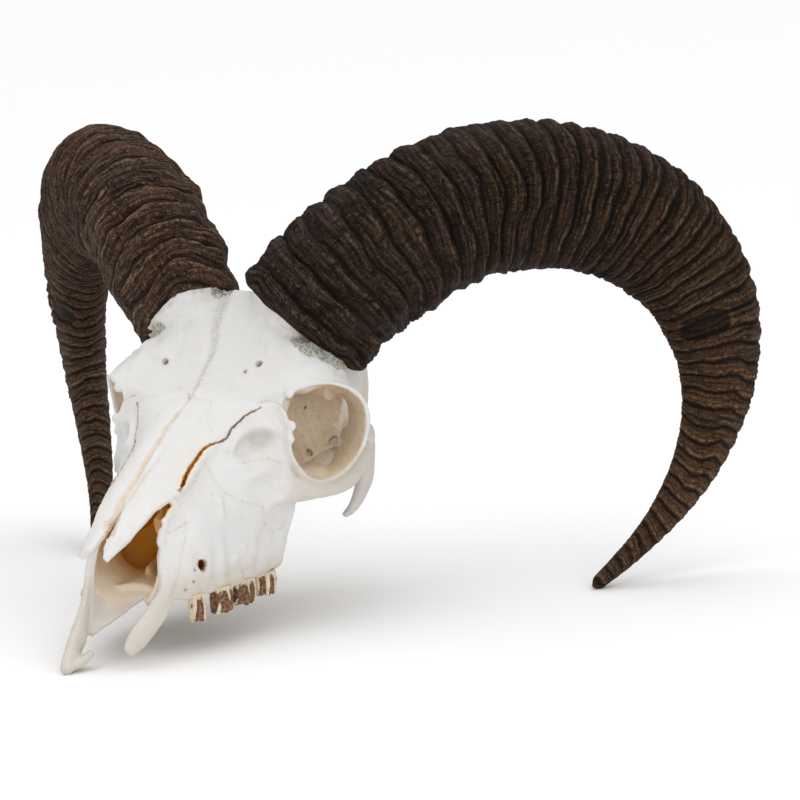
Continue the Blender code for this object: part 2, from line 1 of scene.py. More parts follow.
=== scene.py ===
# %% [markdown]
# # Mouflon skull with its horns
#
# This notebook dresses the packed model of a ram's skull. The real object is a cleaned, bleached skull
# without its lower jaw. It lies on the tip of one premaxilla and on the tips of its two horns. The bone is
# one grown piece, the horns are two sheaths that slip over bony cores, and each cheek tooth is a piece of
# its own.
#
# The frame gives every piece its place and its rough form. The finer form follows the photograph: a camera
# was fitted to it first, and the bones were then shaped by comparing renders with it. Each cell makes one
# thing and prints what it made.

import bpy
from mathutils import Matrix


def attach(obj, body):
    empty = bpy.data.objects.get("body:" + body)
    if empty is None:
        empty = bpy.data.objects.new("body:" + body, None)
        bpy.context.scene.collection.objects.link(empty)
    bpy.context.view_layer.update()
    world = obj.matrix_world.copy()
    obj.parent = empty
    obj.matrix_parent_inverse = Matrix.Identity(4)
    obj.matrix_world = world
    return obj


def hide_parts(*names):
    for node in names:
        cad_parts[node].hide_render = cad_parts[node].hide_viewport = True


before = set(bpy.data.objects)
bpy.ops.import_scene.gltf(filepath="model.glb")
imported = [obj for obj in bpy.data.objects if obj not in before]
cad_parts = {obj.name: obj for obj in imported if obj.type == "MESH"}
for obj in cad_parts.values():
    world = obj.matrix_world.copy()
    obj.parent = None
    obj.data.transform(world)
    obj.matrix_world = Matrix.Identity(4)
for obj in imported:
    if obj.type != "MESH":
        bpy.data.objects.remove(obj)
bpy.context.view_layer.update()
print("frame nodes:", sorted(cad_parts))

# %% Names and units
import math

import bmesh
import bpy
import numpy as np
from mathutils import Quaternion, Vector
from mathutils.bvhtree import BVHTree
from mathutils.kdtree import KDTree

MM = 0.001
# the skull's own zero lies this far behind the middle of the frame
ZERO_Y = -30.74 * MM


def place(points):
    """Skull millimetres to metres in the frame."""
    return np.asarray(points, float) * MM + np.array((0.0, ZERO_Y, 0.0))


def to_skull(points):
    """Metres in the frame to skull millimetres."""
    return (np.asarray(points, float) - np.array((0.0, ZERO_Y, 0.0))) / MM


print("the frame's zero in skull mm:", to_skull((0, 0, 0)))

# %% [markdown]
# ## Camera
#
# The photograph looks at the skull from its left front, a little above the floor, with a long lens, so that
# the nearer horn hardly looks larger than the farther one. The camera stands on the same sight line. A few
# features are easier to point at in the picture than to measure on the bone, so `sight` turns a picture
# point into a ray, and the bone is found where the ray lands.

# %% Set up the camera
CAMERA_PLACE = Vector((0.66745, -1.05611, 0.28215))
CAMERA_BACK = Vector((0.48540, -0.85981, 0.15849))     # from what it looks at, back towards the camera
CAMERA_ROLL = math.radians(-3.069)
LENS = 138.65
SENSOR = 36.0
PICTURE = 800.0

camera_data = bpy.data.cameras.new("camera")
camera_data.lens = LENS
camera_data.sensor_width = SENSOR
camera_data.clip_end = 20.0
camera = bpy.data.objects.new("camera", camera_data)
bpy.context.scene.collection.objects.link(camera)
camera.rotation_mode = "QUATERNION"
camera.rotation_quaternion = CAMERA_BACK.to_track_quat("Z", "Y") @ Quaternion((0, 0, 1), CAMERA_ROLL)
camera.location = CAMERA_PLACE
bpy.context.scene.camera = camera
bpy.context.view_layer.update()


def sight(px, py):
    """Direction in which the camera sees a point of the picture."""
    across = (px - PICTURE / 2) / PICTURE * SENSOR / LENS
    down = (py - PICTURE / 2) / PICTURE * SENSOR / LENS
    return (camera.matrix_world.to_3x3() @ Vector((across, -down, -1.0))).normalized()


print("camera height above the floor, mm:", round(CAMERA_PLACE.z / MM))

# %% [markdown]
# ## Floor and light
#
# The skull is shown on seamless white. The camera looks down so gently that the floor fills the whole
# picture, so the floor has to be equally bright near and far. A softbox would leave a pool of light. A very
# broad sun lights every part of the floor alike and still draws the soft shadow right below the skull. A
# dim sky fills the shadows, and one softbox on either side of the camera brightens the face.

# %% Lay the floor
FLOOR_SIZE = 60.0
bpy.ops.object.select_all(action="DESELECT")
bpy.ops.mesh.primitive_plane_add(size=FLOOR_SIZE, location=(0, 0, 0))
floor = bpy.context.object
floor.name = "floor"
print("floor, m:", FLOOR_SIZE)

# %% Hang the softboxes
def softbox(name, place_at, aim, size, power, colour=(1, 1, 1)):
    light = bpy.data.lights.new(name, "AREA")
    light.shape = "RECTANGLE"
    light.size, light.size_y = size
    light.energy = power
    light.color = colour
    lamp = bpy.data.objects.new(name, light)
    bpy.context.scene.collection.objects.link(lamp)
    lamp.location = place_at
    lamp.rotation_euler = (Vector(place_at) - Vector(aim)).to_track_quat("Z", "Y").to_euler()
    return lamp


SKULL_MIDDLE = (0.0, -0.02, 0.09)
softbox("front_light", (-0.7, -1.5, 0.75), SKULL_MIDDLE, (1.1, 0.9), 4.0, (1.0, 0.99, 0.98))
softbox("side_light", (1.25, -0.95, 0.55), SKULL_MIDDLE, (1.1, 0.9), 6.5, (1.0, 0.99, 0.98))
print("softboxes:", [light.name for light in bpy.data.lights])

# %% Hang a broad sun and a dim sky
SUN_FROM = Vector((0.0, 0.12, 1.0))
SUN_SPREAD = math.radians(114)
SUN_BRIGHTNESS = 3.0
SKY_BRIGHTNESS = 0.10
sun_data = bpy.data.lights.new("broad_sun", "SUN")
sun_data.angle = SUN_SPREAD
sun_data.energy = SUN_BRIGHTNESS
sun = bpy.data.objects.new("broad_sun", sun_data)
bpy.context.scene.collection.objects.link(sun)
sun.rotation_euler = SUN_FROM.to_track_quat("Z", "Y").to_euler()

world = bpy.data.worlds.new("studio")
world.use_nodes = True
world.node_tree.nodes["Background"].inputs["Color"].default_value = (1, 1, 1, 1)
world.node_tree.nodes["Background"].inputs["Strength"].default_value = SKY_BRIGHTNESS
bpy.context.scene.world = world
bpy.context.scene.view_settings.view_transform = "Standard"

# %% [markdown]
# ## Modelling helpers
#
# Bone is made of thin sheets and tapering bars that flow into each other. Both start from Blender's grid
# primitive. For a sheet, the grid's points are moved onto a smooth surface through a few rows of key points
# and Solidify gives the thickness. For a bar, a horn or a tooth, the grid is rolled up into a tube: its
# first and last columns are merged and its ends are filled.

# %% Smooth curves through key points
def smooth_through(keys, steps, closed=False):
    """Points of a Catmull-Rom curve through the keys, with steps points to a span."""
    keys = np.asarray(keys, float)
    count = len(keys)
    points = []
    for i in range(count if closed else count - 1):
        if closed:
            a, b, c, d = (keys[(i + k) % count] for k in (-1, 0, 1, 2))
        else:
            b, c = keys[i], keys[i + 1]
            a = keys[i - 1] if i > 0 else 2 * b - c
            d = keys[i + 2] if i + 2 < count else 2 * c - b
        for k in range(steps):
            t = k / steps
            points.append(0.5 * (2 * b + (c - a) * t + (2 * a - 5 * b + 4 * c - d) * t * t
                                 + (3 * b - a - 3 * c + d) * t ** 3))
    if not closed:
        points.append(keys[-1])
    return np.array(points)


print("points of a curve through 3 keys:", len(smooth_through([(0, 0), (1, 1), (2, 0)], 6)))

# %% Grid primitives moved onto a surface
SAME_POINT = 1e-7             # points nearer than this, in metres, are one


def read_points(mesh):
    flat = np.empty(len(mesh.vertices) * 3)
    mesh.vertices.foreach_get("co", flat)
    return flat.reshape(-1, 3)


def write_points(mesh, points):
    mesh.vertices.foreach_set("co", np.ascontiguousarray(points, dtype=float).reshape(-1))
    mesh.update()


def only(obj):
    """Makes obj the one selected and active object."""
    bpy.ops.object.select_all(action="DESELECT")
    obj.select_set(True)
    bpy.context.view_layer.objects.active = obj


def apply_modifiers(obj):
    only(obj)
    for modifier in list(obj.modifiers):
        bpy.ops.object.modifier_apply(modifier=modifier.name)


def grid_on(points, name):
    """A grid primitive whose points are moved to points, an array of rows and columns of metres."""
    rows, columns = points.shape[:2]
    bpy.ops.object.select_all(action="DESELECT")
    bpy.ops.mesh.primitive_grid_add(x_subdivisions=columns - 1, y_subdivisions=rows - 1, size=1)
    obj = bpy.context.object
    obj.name = name
    write_points(obj.data, points.reshape(-1, 3))
    return obj


def sheet(rows, thickness, name, steps=6):
    """A bone plate through rows of key points in skull millimetres, thickened to its back."""
    rows = [smooth_through(row, steps) for row in rows]
    surface = smooth_through(np.array(rows).reshape(len(rows), -1), steps)
    surface = surface.reshape(surface.shape[0], -1, 3)
    obj = grid_on(place(surface), name)
    solidify = obj.modifiers.new("thickness", "SOLIDIFY")
    solidify.thickness = abs(thickness) * MM
    solidify.offset = -1 if thickness > 0 else 1
    apply_modifiers(obj)
    return obj


def mend(obj, merge=None, fill=False, outward=True):
    """Merges doubles nearer than merge metres, fills open ends and turns the faces outwards."""
    only(obj)
    bpy.ops.object.mode_set(mode="EDIT")
    bpy.ops.mesh.select_all(action="SELECT")
    if merge:
        bpy.ops.mesh.remove_doubles(threshold=merge)
    if fill:
        bpy.ops.mesh.select_all(action="DESELECT")
        bpy.ops.mesh.select_non_manifold()
        bpy.ops.mesh.edge_face_add()
        bpy.ops.mesh.select_all(action="SELECT")
    if outward:
        bpy.ops.mesh.normals_make_consistent(inside=False)
    bpy.ops.object.mode_set(mode="OBJECT")


def tube(rings, name):
    """A closed body through rings of points in metres: the grid is rolled up and its ends are filled."""
    rings = np.asarray(rings, float)
    obj = grid_on(np.concatenate([rings, rings[:, :1]], axis=1), name)
    mend(obj, merge=SAME_POINT, fill=True)
    return obj


def oval_rings(path, sizes, up=(0, 0, 1), steps=6, sides=16):
    """Oval sections along a smooth path in skull millimetres; sizes are half width and half height."""
    points = smooth_through(path, steps)
    size = smooth_through(sizes, steps)
    turn = 2 * math.pi * np.arange(sides) / sides
    rings = []
    for i, point in enumerate(points):
        ahead = points[min(i + 1, len(points) - 1)] - points[max(i - 1, 0)]
        ahead /= np.linalg.norm(ahead)
        across = np.cross(ahead, np.asarray(up, float))
        across /= np.linalg.norm(across)
        rise = np.cross(across, ahead)
        rings.append(point + np.outer(np.cos(turn) * size[i][0], across)
                     + np.outer(np.sin(turn) * size[i][1], rise))
    return np.array(rings)


def bar(path, sizes, name, **shape):
    return tube(place(oval_rings(path, sizes, **shape)), name)


def mirrored(points):
    return np.asarray(points, float) * np.array((-1, 1, 1))


def ball(centre, radii, name):
    """A bulge of bone: a UV sphere, scaled to its three half sizes."""
    bpy.ops.object.select_all(action="DESELECT")
    bpy.ops.mesh.primitive_uv_sphere_add(segments=20, ring_count=12, radius=1)
    obj = bpy.context.object
    obj.name = name
    write_points(obj.data, place(read_points(obj.data) * np.array(radii) + np.array(centre)))
    return obj


print("a bar's sections:", oval_rings([(0, 0, 0), (0, 9, 0)], [(1, 1), (2, 2)]).shape)

# %% Rows, noise and soft steps
def whole_row(half):
    """A row of keys from the middle plane outwards, completed on the other side."""
    half = [tuple(p) for p in half]
    return [(-x, y, z) for x, y, z in half[:0:-1]] + half


def noise(points, seed=0):
    """Smooth noise from -1 to 1 that changes about once per unit."""
    points = np.asarray(points, float)
    base = np.floor(points).astype(np.int64)
    part = points - base
    blend = part * part * (3 - 2 * part)
    total = np.zeros(len(points))
    for corner in range(8):
        step = np.array([(corner >> axis) & 1 for axis in range(3)])
        cell = base + step
        mixed = (cell[:, 0] * 73856093) ^ (cell[:, 1] * 19349663) ^ (cell[:, 2] * 83492791) ^ (seed * 26544357)
        mixed = ((mixed ^ (mixed >> 13)) * 1274126177) & 0x7FFFFFFF
        value = ((mixed ^ (mixed >> 15)) & 0xFFFF) / 32767.5 - 1
        total += value * np.prod(np.where(step, blend, 1 - blend), axis=1)
    return total


def rise(value, low, high):
    """0 below low, 1 above high, and smooth between them."""
    t = np.clip((np.asarray(value, float) - low) / (high - low), 0, 1)
    return t * t * (3 - 2 * t)


print("noise check:", round(float(noise(np.array([[0.3, 0.7, 1.9]]))[0]), 4))

# %% [markdown]
# ## The shape of a horn
#
# A sheath grows from its base, so its centre line bends and twists by a smooth law. The same law gives the
# solid in the frame. Here it carries a much finer surface, so the law is written out once more.

# %% Horn centre line
HORN_BASE = (28.8, 33.1, 118.8)
HORN_AZIMUTH = 57.7
HORN_RISE = 47.3
HORN_ROLL = -102.4
HORN_LENGTH = 338.5
TIP_DROP = 4.3
HORN_BEND = (5.681, 15.291, 10.629, -23.878)
HORN_TWIST = (-1.829, 13.350, -23.975)
HORN_STATIONS = (-0.02, 0.0, 0.15, 0.30, 0.45, 0.60, 0.75, 0.90, 1.0)
HORN_HALF_DEPTH = (29.0, 30.5, 31.5, 30.6, 27.6, 21.8, 13.6, 6.3, 3.2)
HORN_HALF_WIDTH = (20.5, 22.0, 24.5, 23.0, 18.1, 12.6, 8.6, 4.9, 2.6)
HORN_START = -0.012
INNER_NARROWING = 0.10


def horn_frames(samples=240):
    """Stations from base to tip: point, forward, inward and side directions."""
    azimuth, climb, roll = (math.radians(v) for v in (HORN_AZIMUTH, HORN_RISE, HORN_ROLL))
    forward = np.array([math.sin(azimuth) * math.cos(climb), math.cos(azimuth) * math.cos(climb),
                        math.sin(climb)])
    side = np.cross(forward, (0, 0, 1))
    side /= np.linalg.norm(side)
    inward = math.cos(roll) * side + math.sin(roll) * np.cross(side, forward)
    point = np.array(HORN_BASE, float)
    step = HORN_LENGTH / samples
    frames = []
    for i in range(samples + 1):
        s = i / samples
        beside = np.cross(forward, inward)
        frames.append((point.copy(), forward.copy(), inward.copy(), beside))
        bend = sum(k * s ** n for n, k in enumerate(HORN_BEND)) * MM
        twist = sum(k * s ** n for n, k in enumerate(HORN_TWIST)) * MM
        point = point + step * forward
        turned = forward + step * bend * inward
        inward = inward + step * (-bend * forward + twist * beside)
        forward = turned / np.linalg.norm(turned)
        inward = inward - forward * np.dot(inward, forward)
        inward /= np.linalg.norm(inward)
    return frames


HORN_FRAMES = horn_frames()


def horn_at(s):
    """Point and directions at station s; below the base the beam runs straight back."""
    if s <= 0:
        point, forward, inward, beside = HORN_FRAMES[0]
        return point + forward * s * HORN_LENGTH, forward, inward, beside
    last = len(HORN_FRAMES) - 1
    i = min(int(s * last), last - 1)
    t = s * last - i
    mixed = [a * (1 - t) + b * t for a, b in zip(HORN_FRAMES[i], HORN_FRAMES[i + 1])]
    for k in (1, 2, 3):
        mixed[k] /= np.linalg.norm(mixed[k])
    sag = max(0.0, (s - 0.7) / 0.3) ** 2
    mixed[0] = mixed[0] - np.array((0, 0, TIP_DROP * sag))
    return tuple(mixed)


def horn_rings(stations, turn, lift):
    """Points of the sheath: stations along, turn in radians round, lift in millimetres off the plain surface."""
    rings = []
    for row, s in enumerate(stations):
        point, _, inward, beside = horn_at(s)
        depth = np.interp(s, HORN_STATIONS, HORN_HALF_DEPTH) + lift[row]
        width = np.interp(s, HORN_STATIONS, HORN_HALF_WIDTH) + lift[row]
        narrow = 1 - INNER_NARROWING * np.cos(turn)
        rings.append(point + (depth * np.cos(turn))[:, None] * inward
                     + (width * narrow * np.sin(turn))[:, None] * beside)
    return np.array(rings)


print("horn tip, skull mm:", np.round(horn_at(1.0)[0], 1))

# %% [markdown]
# ## The bones
#
# A skull is many bones grown together along their sutures. Each cell below makes the plates and bars of one
# region as separate closed bodies that overlap their neighbours. They are melted into one skin afterwards,
# which gives the flowing joints that bone has.

# %% Side of the face
bones = []


def both_sides(make, points, *more, name, **shape):
    """Makes a bone on the animal's left and its mirror image on the right."""
    bones.append(make(points, *more, name=name + "_left", **shape))
    mirror = [mirrored(row) for row in points] if make is sheet else mirrored(points)
    if make is sheet:
        more = (-more[0], *more[1:])
    if "up" in shape:
        shape = {**shape, "up": (-shape["up"][0], *shape["up"][1:])}
    bones.append(make(mirror, *more, name=name + "_right", **shape))


face_rows = [
    [(15.3, -59, 52), (15.8, -62, 46.5), (16, -64.5, 42), (16.5, -66.5, 36), (16.5, -67, 31), (16.5, -67.5, 26)],
    [(15.3, -53, 57.5), (19.5, -53, 50), (21.5, -57, 42), (22, -60.5, 35), (21.7, -62.5, 29.5), (21, -63.5, 24)],
    [(16, -44.5, 63), (20, -47, 56), (24, -50, 48.5), (26, -52, 40), (26.3, -54, 31), (24, -57.5, 22.5)],
    [(14.3, -37.5, 67), (19, -38, 62), (24, -41, 54), (27, -43, 44), (28.3, -45, 33), (27.5, -46, 23)],
    [(14, -30, 74.5), (19.5, -30, 69.5), (25, -31, 61), (28.5, -32, 50), (30, -33, 37), (29.5, -32, 23)],
    [(15.5, -19, 83), (22, -20, 78.5), (28, -22, 69), (31.5, -23, 56), (32, -23, 40), (31, -21, 23.5)],
    [(20, -7.5, 91), (26, -10.5, 86.5), (31.5, -12, 75.5), (35, -12, 62), (34.3, -10.5, 45), (32.5, -11, 24)],
    [(35.5, -4.5, 93.5), (38.5, -5, 88.5), (40.8, -5.5, 80), (42.5, -5.5, 69), (40, -1.5, 50.5), (34, -4.5, 27)],
]
both_sides(sheet, face_rows, 3.4, name="maxilla")
both_sides(bar, [(19.5, -62, 27), (22.5, -52, 26.5), (25, -36, 27), (26.5, -18, 27.5), (28.5, -3, 29)],
           [(3, 3), (4, 4), (5, 4.5), (6, 5), (6, 5.5)], name="tooth_ridge")
for side in (1, -1):
    bones.append(ball((side * 29.5, -6, 41), (6, 6, 15), "cheek_bulge"))
# a jagged edge of small lumps round the nose's opening
edge = smooth_through([(14.6, -24, 79.4), (13.6, -30, 74.3), (14.0, -37.5, 67), (15.4, -44.5, 62.6),
                       (15.0, -53, 57.2), (15.0, -59, 51.6), (15.4, -62.5, 45.5)], 5)
for i, point in enumerate(edge):
    size = 1.25 + 0.45 * math.sin(i * 2.4)
    for side in (1, -1):
        bones.append(ball((side * (point[0] + 0.4 * math.sin(i * 4.1)), point[1], point[2]),
                          (size, size, size * 1.2), "edge_tooth"))
print("bones so far:", len(bones))

# %% Nasal bones
nasal_back = [
    [(0.3, -3, 95), (8, -5, 94), (17, -7, 91.8), (28, -7.5, 88.3)],
    [(0.4, -20, 84.8), (6.5, -20, 84.4), (13.5, -19.8, 83.2), (21.4, -18.3, 79.4)],
    [(0.5, -34, 75.2), (6, -34, 75), (12, -33, 74), (17.4, -31, 71)],
    [(0.7, -48, 65.8), (5.5, -48, 65.7), (10.5, -47.5, 64.6), (16, -46, 61.6)],
]
nasal_left = nasal_back + [
    [(0.9, -60, 58.8), (5, -60.5, 58.8), (9.5, -61, 57.6), (12.4, -60.5, 56.6)],
    [(1.6, -71, 53.4), (4.5, -72, 53.2), (8, -72, 52), (10.8, -71, 50.6)],
    [(3.2, -79, 47.6), (5, -80, 47.4), (7, -80, 46.8), (8.8, -79.5, 46)],
    [(5, -85.2, 42.4), (5.2, -85.4, 42.2), (5.5, -85.5, 42), (5.8, -85.3, 41.8)],
]
nasal_right = [[(-x, y, z) for x, y, z in row] for row in nasal_back] + [
    [(-1, -61, 57), (-5, -61.5, 57), (-9, -61, 57), (-12.2, -60, 57)],
    [(-2, -71.5, 50), (-5, -72, 50), (-8, -72, 49), (-10.5, -71.5, 48)],
    [(-3.8, -80, 44), (-5.5, -80.8, 43.6), (-7.2, -80.6, 42.4), (-8.6, -80, 41)],
]
bones.append(sheet(nasal_left, 2.6, "nasal_left"))
bones.append(sheet(nasal_right, -2.6, "nasal_right"))
bones.append(bar([(-0.3, -4, 92), (-0.6, -34, 73.6), (-0.8, -62, 56)], [(3, 2.0), (2.8, 2.0), (2.4, 1.6)],
                 "nasal_septum"))
print("bones so far:", len(bones))

# %% Forehead and horn cores
forehead = [
    [(0, -7, 91.5), (8, -8, 91), (15, -8, 90.5), (21, -6.5, 92.5), (28, -6.5, 93.3), (35.5, -5, 94)],
    [(0, 5, 104.5), (12, 4.5, 104.6), (21, 4.5, 104.4), (31, 2.5, 102.6), (40, -0.5, 99.8), (46, -1.5, 98.8)],
    [(0, 16.4, 117.6), (11, 14.8, 117.4), (22, 12.5, 115.5), (34, 10.5, 111.5), (46, 8.5, 105.5), (54, 7, 100)],
    [(0, 30, 131), (7, 28, 129.8), (16, 21, 126.3), (33, 17.5, 115.5), (46, 24, 106), (57, 17, 96)],
]
bones.append(sheet([whole_row(row) for row in forehead], 6, "frontal"))
both_sides(bar, [(5, 14, 106), (18, 17, 104), (36, 17, 98), (50, 15, 94)],
           [(5, 6), (7, 8), (7, 8), (5, 5)], name="frontal_fill", up=(0, 1, 1))
CORE_STATIONS = [along / HORN_LENGTH for along in (-17, -13, -9, -5, -2, 1, 4)]
core_turn = 2 * math.pi * (np.arange(36) + 0.5) / 36
core = horn_rings(CORE_STATIONS, core_turn, [-17.0, -13.0, -9.0, -5.0, -3.2, -3.0, -3.6])
bones.append(tube(place(core), "horn_core"))
bones.append(tube(place(mirrored(core)), "horn_core"))
print("bones so far:", len(bones))

# %% Eye sockets and cheek arches
RIM = [(37, -4.5, 92.5), (42.5, -2.5, 96.5), (50, 2, 98.5), (55, 9, 97), (58.5, 15.5, 93), (60, 19.5, 87.5),
       (60, 21, 80.5), (58.5, 20.5, 73), (56, 16.5, 66), (53, 10, 61), (50, 2, 59.2), (46.5, -3.5, 61.8),
       (43.5, -6.5, 67), (41.3, -6.7, 74), (41, -6, 81), (38.5, -5, 87)]
# profile of the rim's ring: how far out from the socket's middle, and how deep
RIM_PROFILE = ((1.7, 0.15), (0.7, -0.32), (-0.7, -0.28), (-1.8, 0.3), (-1.7, 1.0), (1.3, 1.0))
# knobs on the front edge of the rim: middle and half size
RIM_KNOBS = (((41.3, -4.6, 95.2), 2.3), ((43.0, -5.4, 88.8), 2.4), ((42.6, -6.4, 82.6), 2.1),
             ((42.2, -6.8, 77.2), 2.0), ((46.0, -1.2, 97.6), 1.5), ((49.5, 1.6, 98.8), 1.3),
             ((52.8, 5.2, 98.4), 1.2))


def socket_rim(side):
    """The raised ring of bone round one eye socket, deeper at the back."""
    ring = smooth_through(RIM, 4, closed=True)
    middle = ring.mean(axis=0)
    away = ring - middle
    away /= np.linalg.norm(away, axis=1, keepdims=True)
    behind = np.clip((ring[:, 1] + 2) / 16, 0, 1)
    inward = np.stack([-5.0 - 6.0 * behind, 3.0 + 5.0 * behind, 0 * behind], axis=1) * 0.9
    loops = [ring + away * out + inward * depth for out, depth in RIM_PROFILE]
    loops.append(loops[0])
    points = np.array(loops).transpose(1, 0, 2) * np.array((side, 1, 1))
    points = np.concatenate([points, points[:1]], axis=0)
    obj = grid_on(place(points), "socket_rim")
    mend(obj, merge=SAME_POINT, outward=False)
    return obj


for side in (1, -1):
    bones.append(socket_rim(side))
    for (x, y, z), size in RIM_KNOBS:
        bones.append(ball((side * x, y, z), (size, size * 0.8, size), "rim_knob"))
    bones.append(ball((side * 40, 9, 60), (9.5, 11, 4.2), "socket_floor"))
socket_wall = [
    [(38, -3.5, 92), (35.5, -2, 84), (35, -2, 74), (37, -3, 64)],
    [(35.5, 8, 96.5), (29.5, 10, 86), (28.5, 11, 74), (33, 10, 62)],
    [(36, 20, 96.5), (28.5, 23, 87), (26.5, 25, 75), (31, 23, 62.5)],
    [(43, 25, 98.5), (34.5, 32, 88), (31.5, 34, 76), (34, 29.5, 64)],
    [(50, 25, 96), (44, 34, 87), (39.5, 38.5, 76), (41, 33, 67)],
]
both_sides(sheet, socket_wall, -1.8, name="socket_wall")
both_sides(bar, [(30, -19, 53), (37, -8, 56.5), (45.5, 3, 56.2), (50, 11, 55.8), (52, 20, 57.5), (50, 31, 60),
                 (45, 43, 64), (36, 52, 70)],
           [(1.5, 3), (4.5, 6.2), (4, 5), (3.5, 4.4), (3, 5), (2.6, 5), (3, 4.5), (5, 4.5)], name="cheek_arch")
print("bones so far:", len(bones))

# %% Braincase and skull base
CASE_STATIONS = [
    (-24, [(0, 78), (9, 74), (11, 68), (9, 60), (0, 56)]),
    (-12, [(0, 89), (19, 87), (23, 76), (15, 63), (0, 58)]),
    (0, [(0, 98), (24, 95), (23, 79), (15, 64), (0, 59)]),
    (10, [(0, 104), (22, 99), (19, 82), (14, 66), (0, 60)]),
    (26, [(0, 116), (27, 104), (21, 84), (15, 68), (0, 62)]),
    (40, [(0, 122), (30, 106), (30, 86), (20, 68), (0, 62)]),
    (56, [(0, 124), (30, 110), (34, 88), (25, 68), (0, 60)]),
    (72, [(0, 117), (26, 108), (33, 88), (26, 66), (0, 58)]),
    (84, [(0, 106), (20, 101), (26, 84), (20, 66), (0, 60)]),
]


def case_rings():
    """Sections of the braincase, each symmetric about the middle plane."""
    rings = []
    for y, half in CASE_STATIONS:
        outline = smooth_through(half + [(-x, z) for x, z in half[-2:0:-1]], 6, closed=True)
        rings.append([(x, y, z) for x, z in outline])
    flat = smooth_through(np.array(rings).reshape(len(rings), -1), 5)
    return flat.reshape(flat.shape[0], -1, 3)


bones.append(tube(place(case_rings()), "braincase"))
bones.append(bar([(0, 86, 60), (0, 70, 58), (0, 50, 60), (0, 30, 62), (0, 5, 60), (0, -18, 56)],
                 [(11, 5), (11, 5.5), (8, 5.5), (6.5, 5), (6, 7), (5, 9)], "skull_base"))
both_sides(bar, [(9, 32, 60), (10, 22, 50), (11, 8, 42), (13, -2, 34)],
           [(1.8, 7), (1.8, 12), (2, 13), (3, 10)], name="pterygoid", up=(0, 0.3, 1))
for side in (1, -1):
    bones.append(ball((side * 17, 58, 54), (8, 11, 9), "ear_bulla"))
both_sides(bar, [(24, 62, 64), (31, 63, 66), (38, 64, 67)], [(5, 5), (4.5, 4.5), (4, 4)], name="ear_passage")
both_sides(bar, [(27, 70, 74), (31, 70, 62), (31, 70, 50), (29.5, 68, 42), (27, 65, 35.5), (23.5, 62, 31.5)],
           [(6, 5), (6, 3.4), (5.2, 3), (4.2, 2.6), (3, 2.2), (1.4, 1.4)], name="jugular_hook", up=(1, 0, 0))
both_sides(bar, [(11, 76, 62), (13, 86, 60), (12.5, 94, 61)], [(6, 7), (7.5, 9.5), (5, 7)], name="condyle")
bones.append(bar([(-27, 74, 84), (-22, 82, 98), (0, 88, 107), (22, 82, 98), (27, 74, 84)],
                 [(3, 4), (3.5, 5), (4, 6), (3.5, 5), (3, 4)], "nuchal_crest", up=(0, 1, 0.2)))
print("bones so far:", len(bones))

# %% Palate, nose floor and premaxillae
palate = [
    [(0, -58, 25), (10, -60, 24), (20, -60, 25)],
    [(0, -30, 29), (12, -30, 28), (24, -30, 27)],
    [(0, 4, 33), (12, 4, 31), (25, 2, 30)],
]
bones.append(sheet([whole_row(row) for row in palate], -3, "palate"))
both_sides(bar, [(8, -52, 48), (9, -42, 53), (9.5, -28, 60), (9, -14, 68)],
           [(2.5, 6), (4, 9), (5.5, 12), (6, 14)], name="turbinate", up=(0, -0.4, 1))
bones.append(bar([(0, -50, 28), (0, -30, 32), (0, -8, 42)], [(1.6, 5), (2, 8), (3, 14)], "vomer"))
bones.append(bar([(18.9, -63.5, 34), (18.9, -65.8, 27), (17.3, -69.8, 21.5), (15.2, -74.4, 16.2),
                  (13, -80, 10.8), (11.3, -84.3, 7.2)],
                 [(3.6, 1.7), (3.9, 1.8), (4.3, 2.2), (4.5, 2.4), (4.2, 2.2), (2.2, 1.5)],
                 "premaxilla_left", up=(0.8, -0.42, 0.04), sides=24))
bones.append(bar([(-15.2, -64.5, 40), (-14.5, -69.5, 30), (-13.9, -73.5, 22), (-12.7, -80, 14), (-11, -88, 7.5),
                  (-9.6, -94.5, 2.6), (-9, -97, 1.1)],
                 [(4, 1.8), (4.5, 1.9), (4.8, 2.3), (4.8, 3.2), (4.5, 3.2), (3.4, 2.6), (1.8, 1.7)],
                 "premaxilla_right", up=(-0.8, -0.42, 0.04), sides=24))
bones.append(bar([(-9, -95.5, 2.4), (-6.5, -90, 3.8), (-4.8, -84.5, 6.3)], [(2.2, 1.8), (2.2, 1.8), (1.8, 1.5)],
                 "premaxilla_hook"))
nose_wall = [
    [(-14, -40, 66), (-18, -42, 55), (-19, -43, 43), (-16, -44, 33), (-9, -44, 28), (3, -44, 27)],
    [(-15, -54, 59), (-18, -56, 50), (-18.5, -57, 40), (-15, -57, 31), (-8, -55, 25), (3, -54, 23.5)],
    [(-12, -64, 53), (-15, -65, 44), (-15.2, -67, 34), (-12.8, -68, 26), (-7.5, -65.5, 19.5), (4, -61, 21.5)],
    [(-9.5, -70, 48), (-11.3, -71, 39), (-12.3, -73, 28.5), (-11.5, -75.5, 19.5), (-10.2, -77.5, 12.5),
     (-9.2, -78, 10)],
]
bones.append(sheet(nose_wall, 2.0, "nose_wall"))
nose_back = [
    [(-17, -38, 66), (-12, -36, 68), (-6, -35, 68.5), (2, -33.5, 68.5), (13, -37, 65)],
    [(-22, -39, 54), (-14, -35, 55), (-7, -32, 55), (3, -31.5, 55), (16.5, -37, 53)],
    [(-25.5, -40, 42), (-15, -35, 41), (-7, -33, 41), (3, -32.5, 41), (16.5, -38, 40)],
    [(-25.5, -41, 30), (-14, -37, 29), (-6, -36, 29), (3, -36, 29), (13, -39, 30)],
]
bones.append(sheet(nose_back, 1.6, "nose_back"))
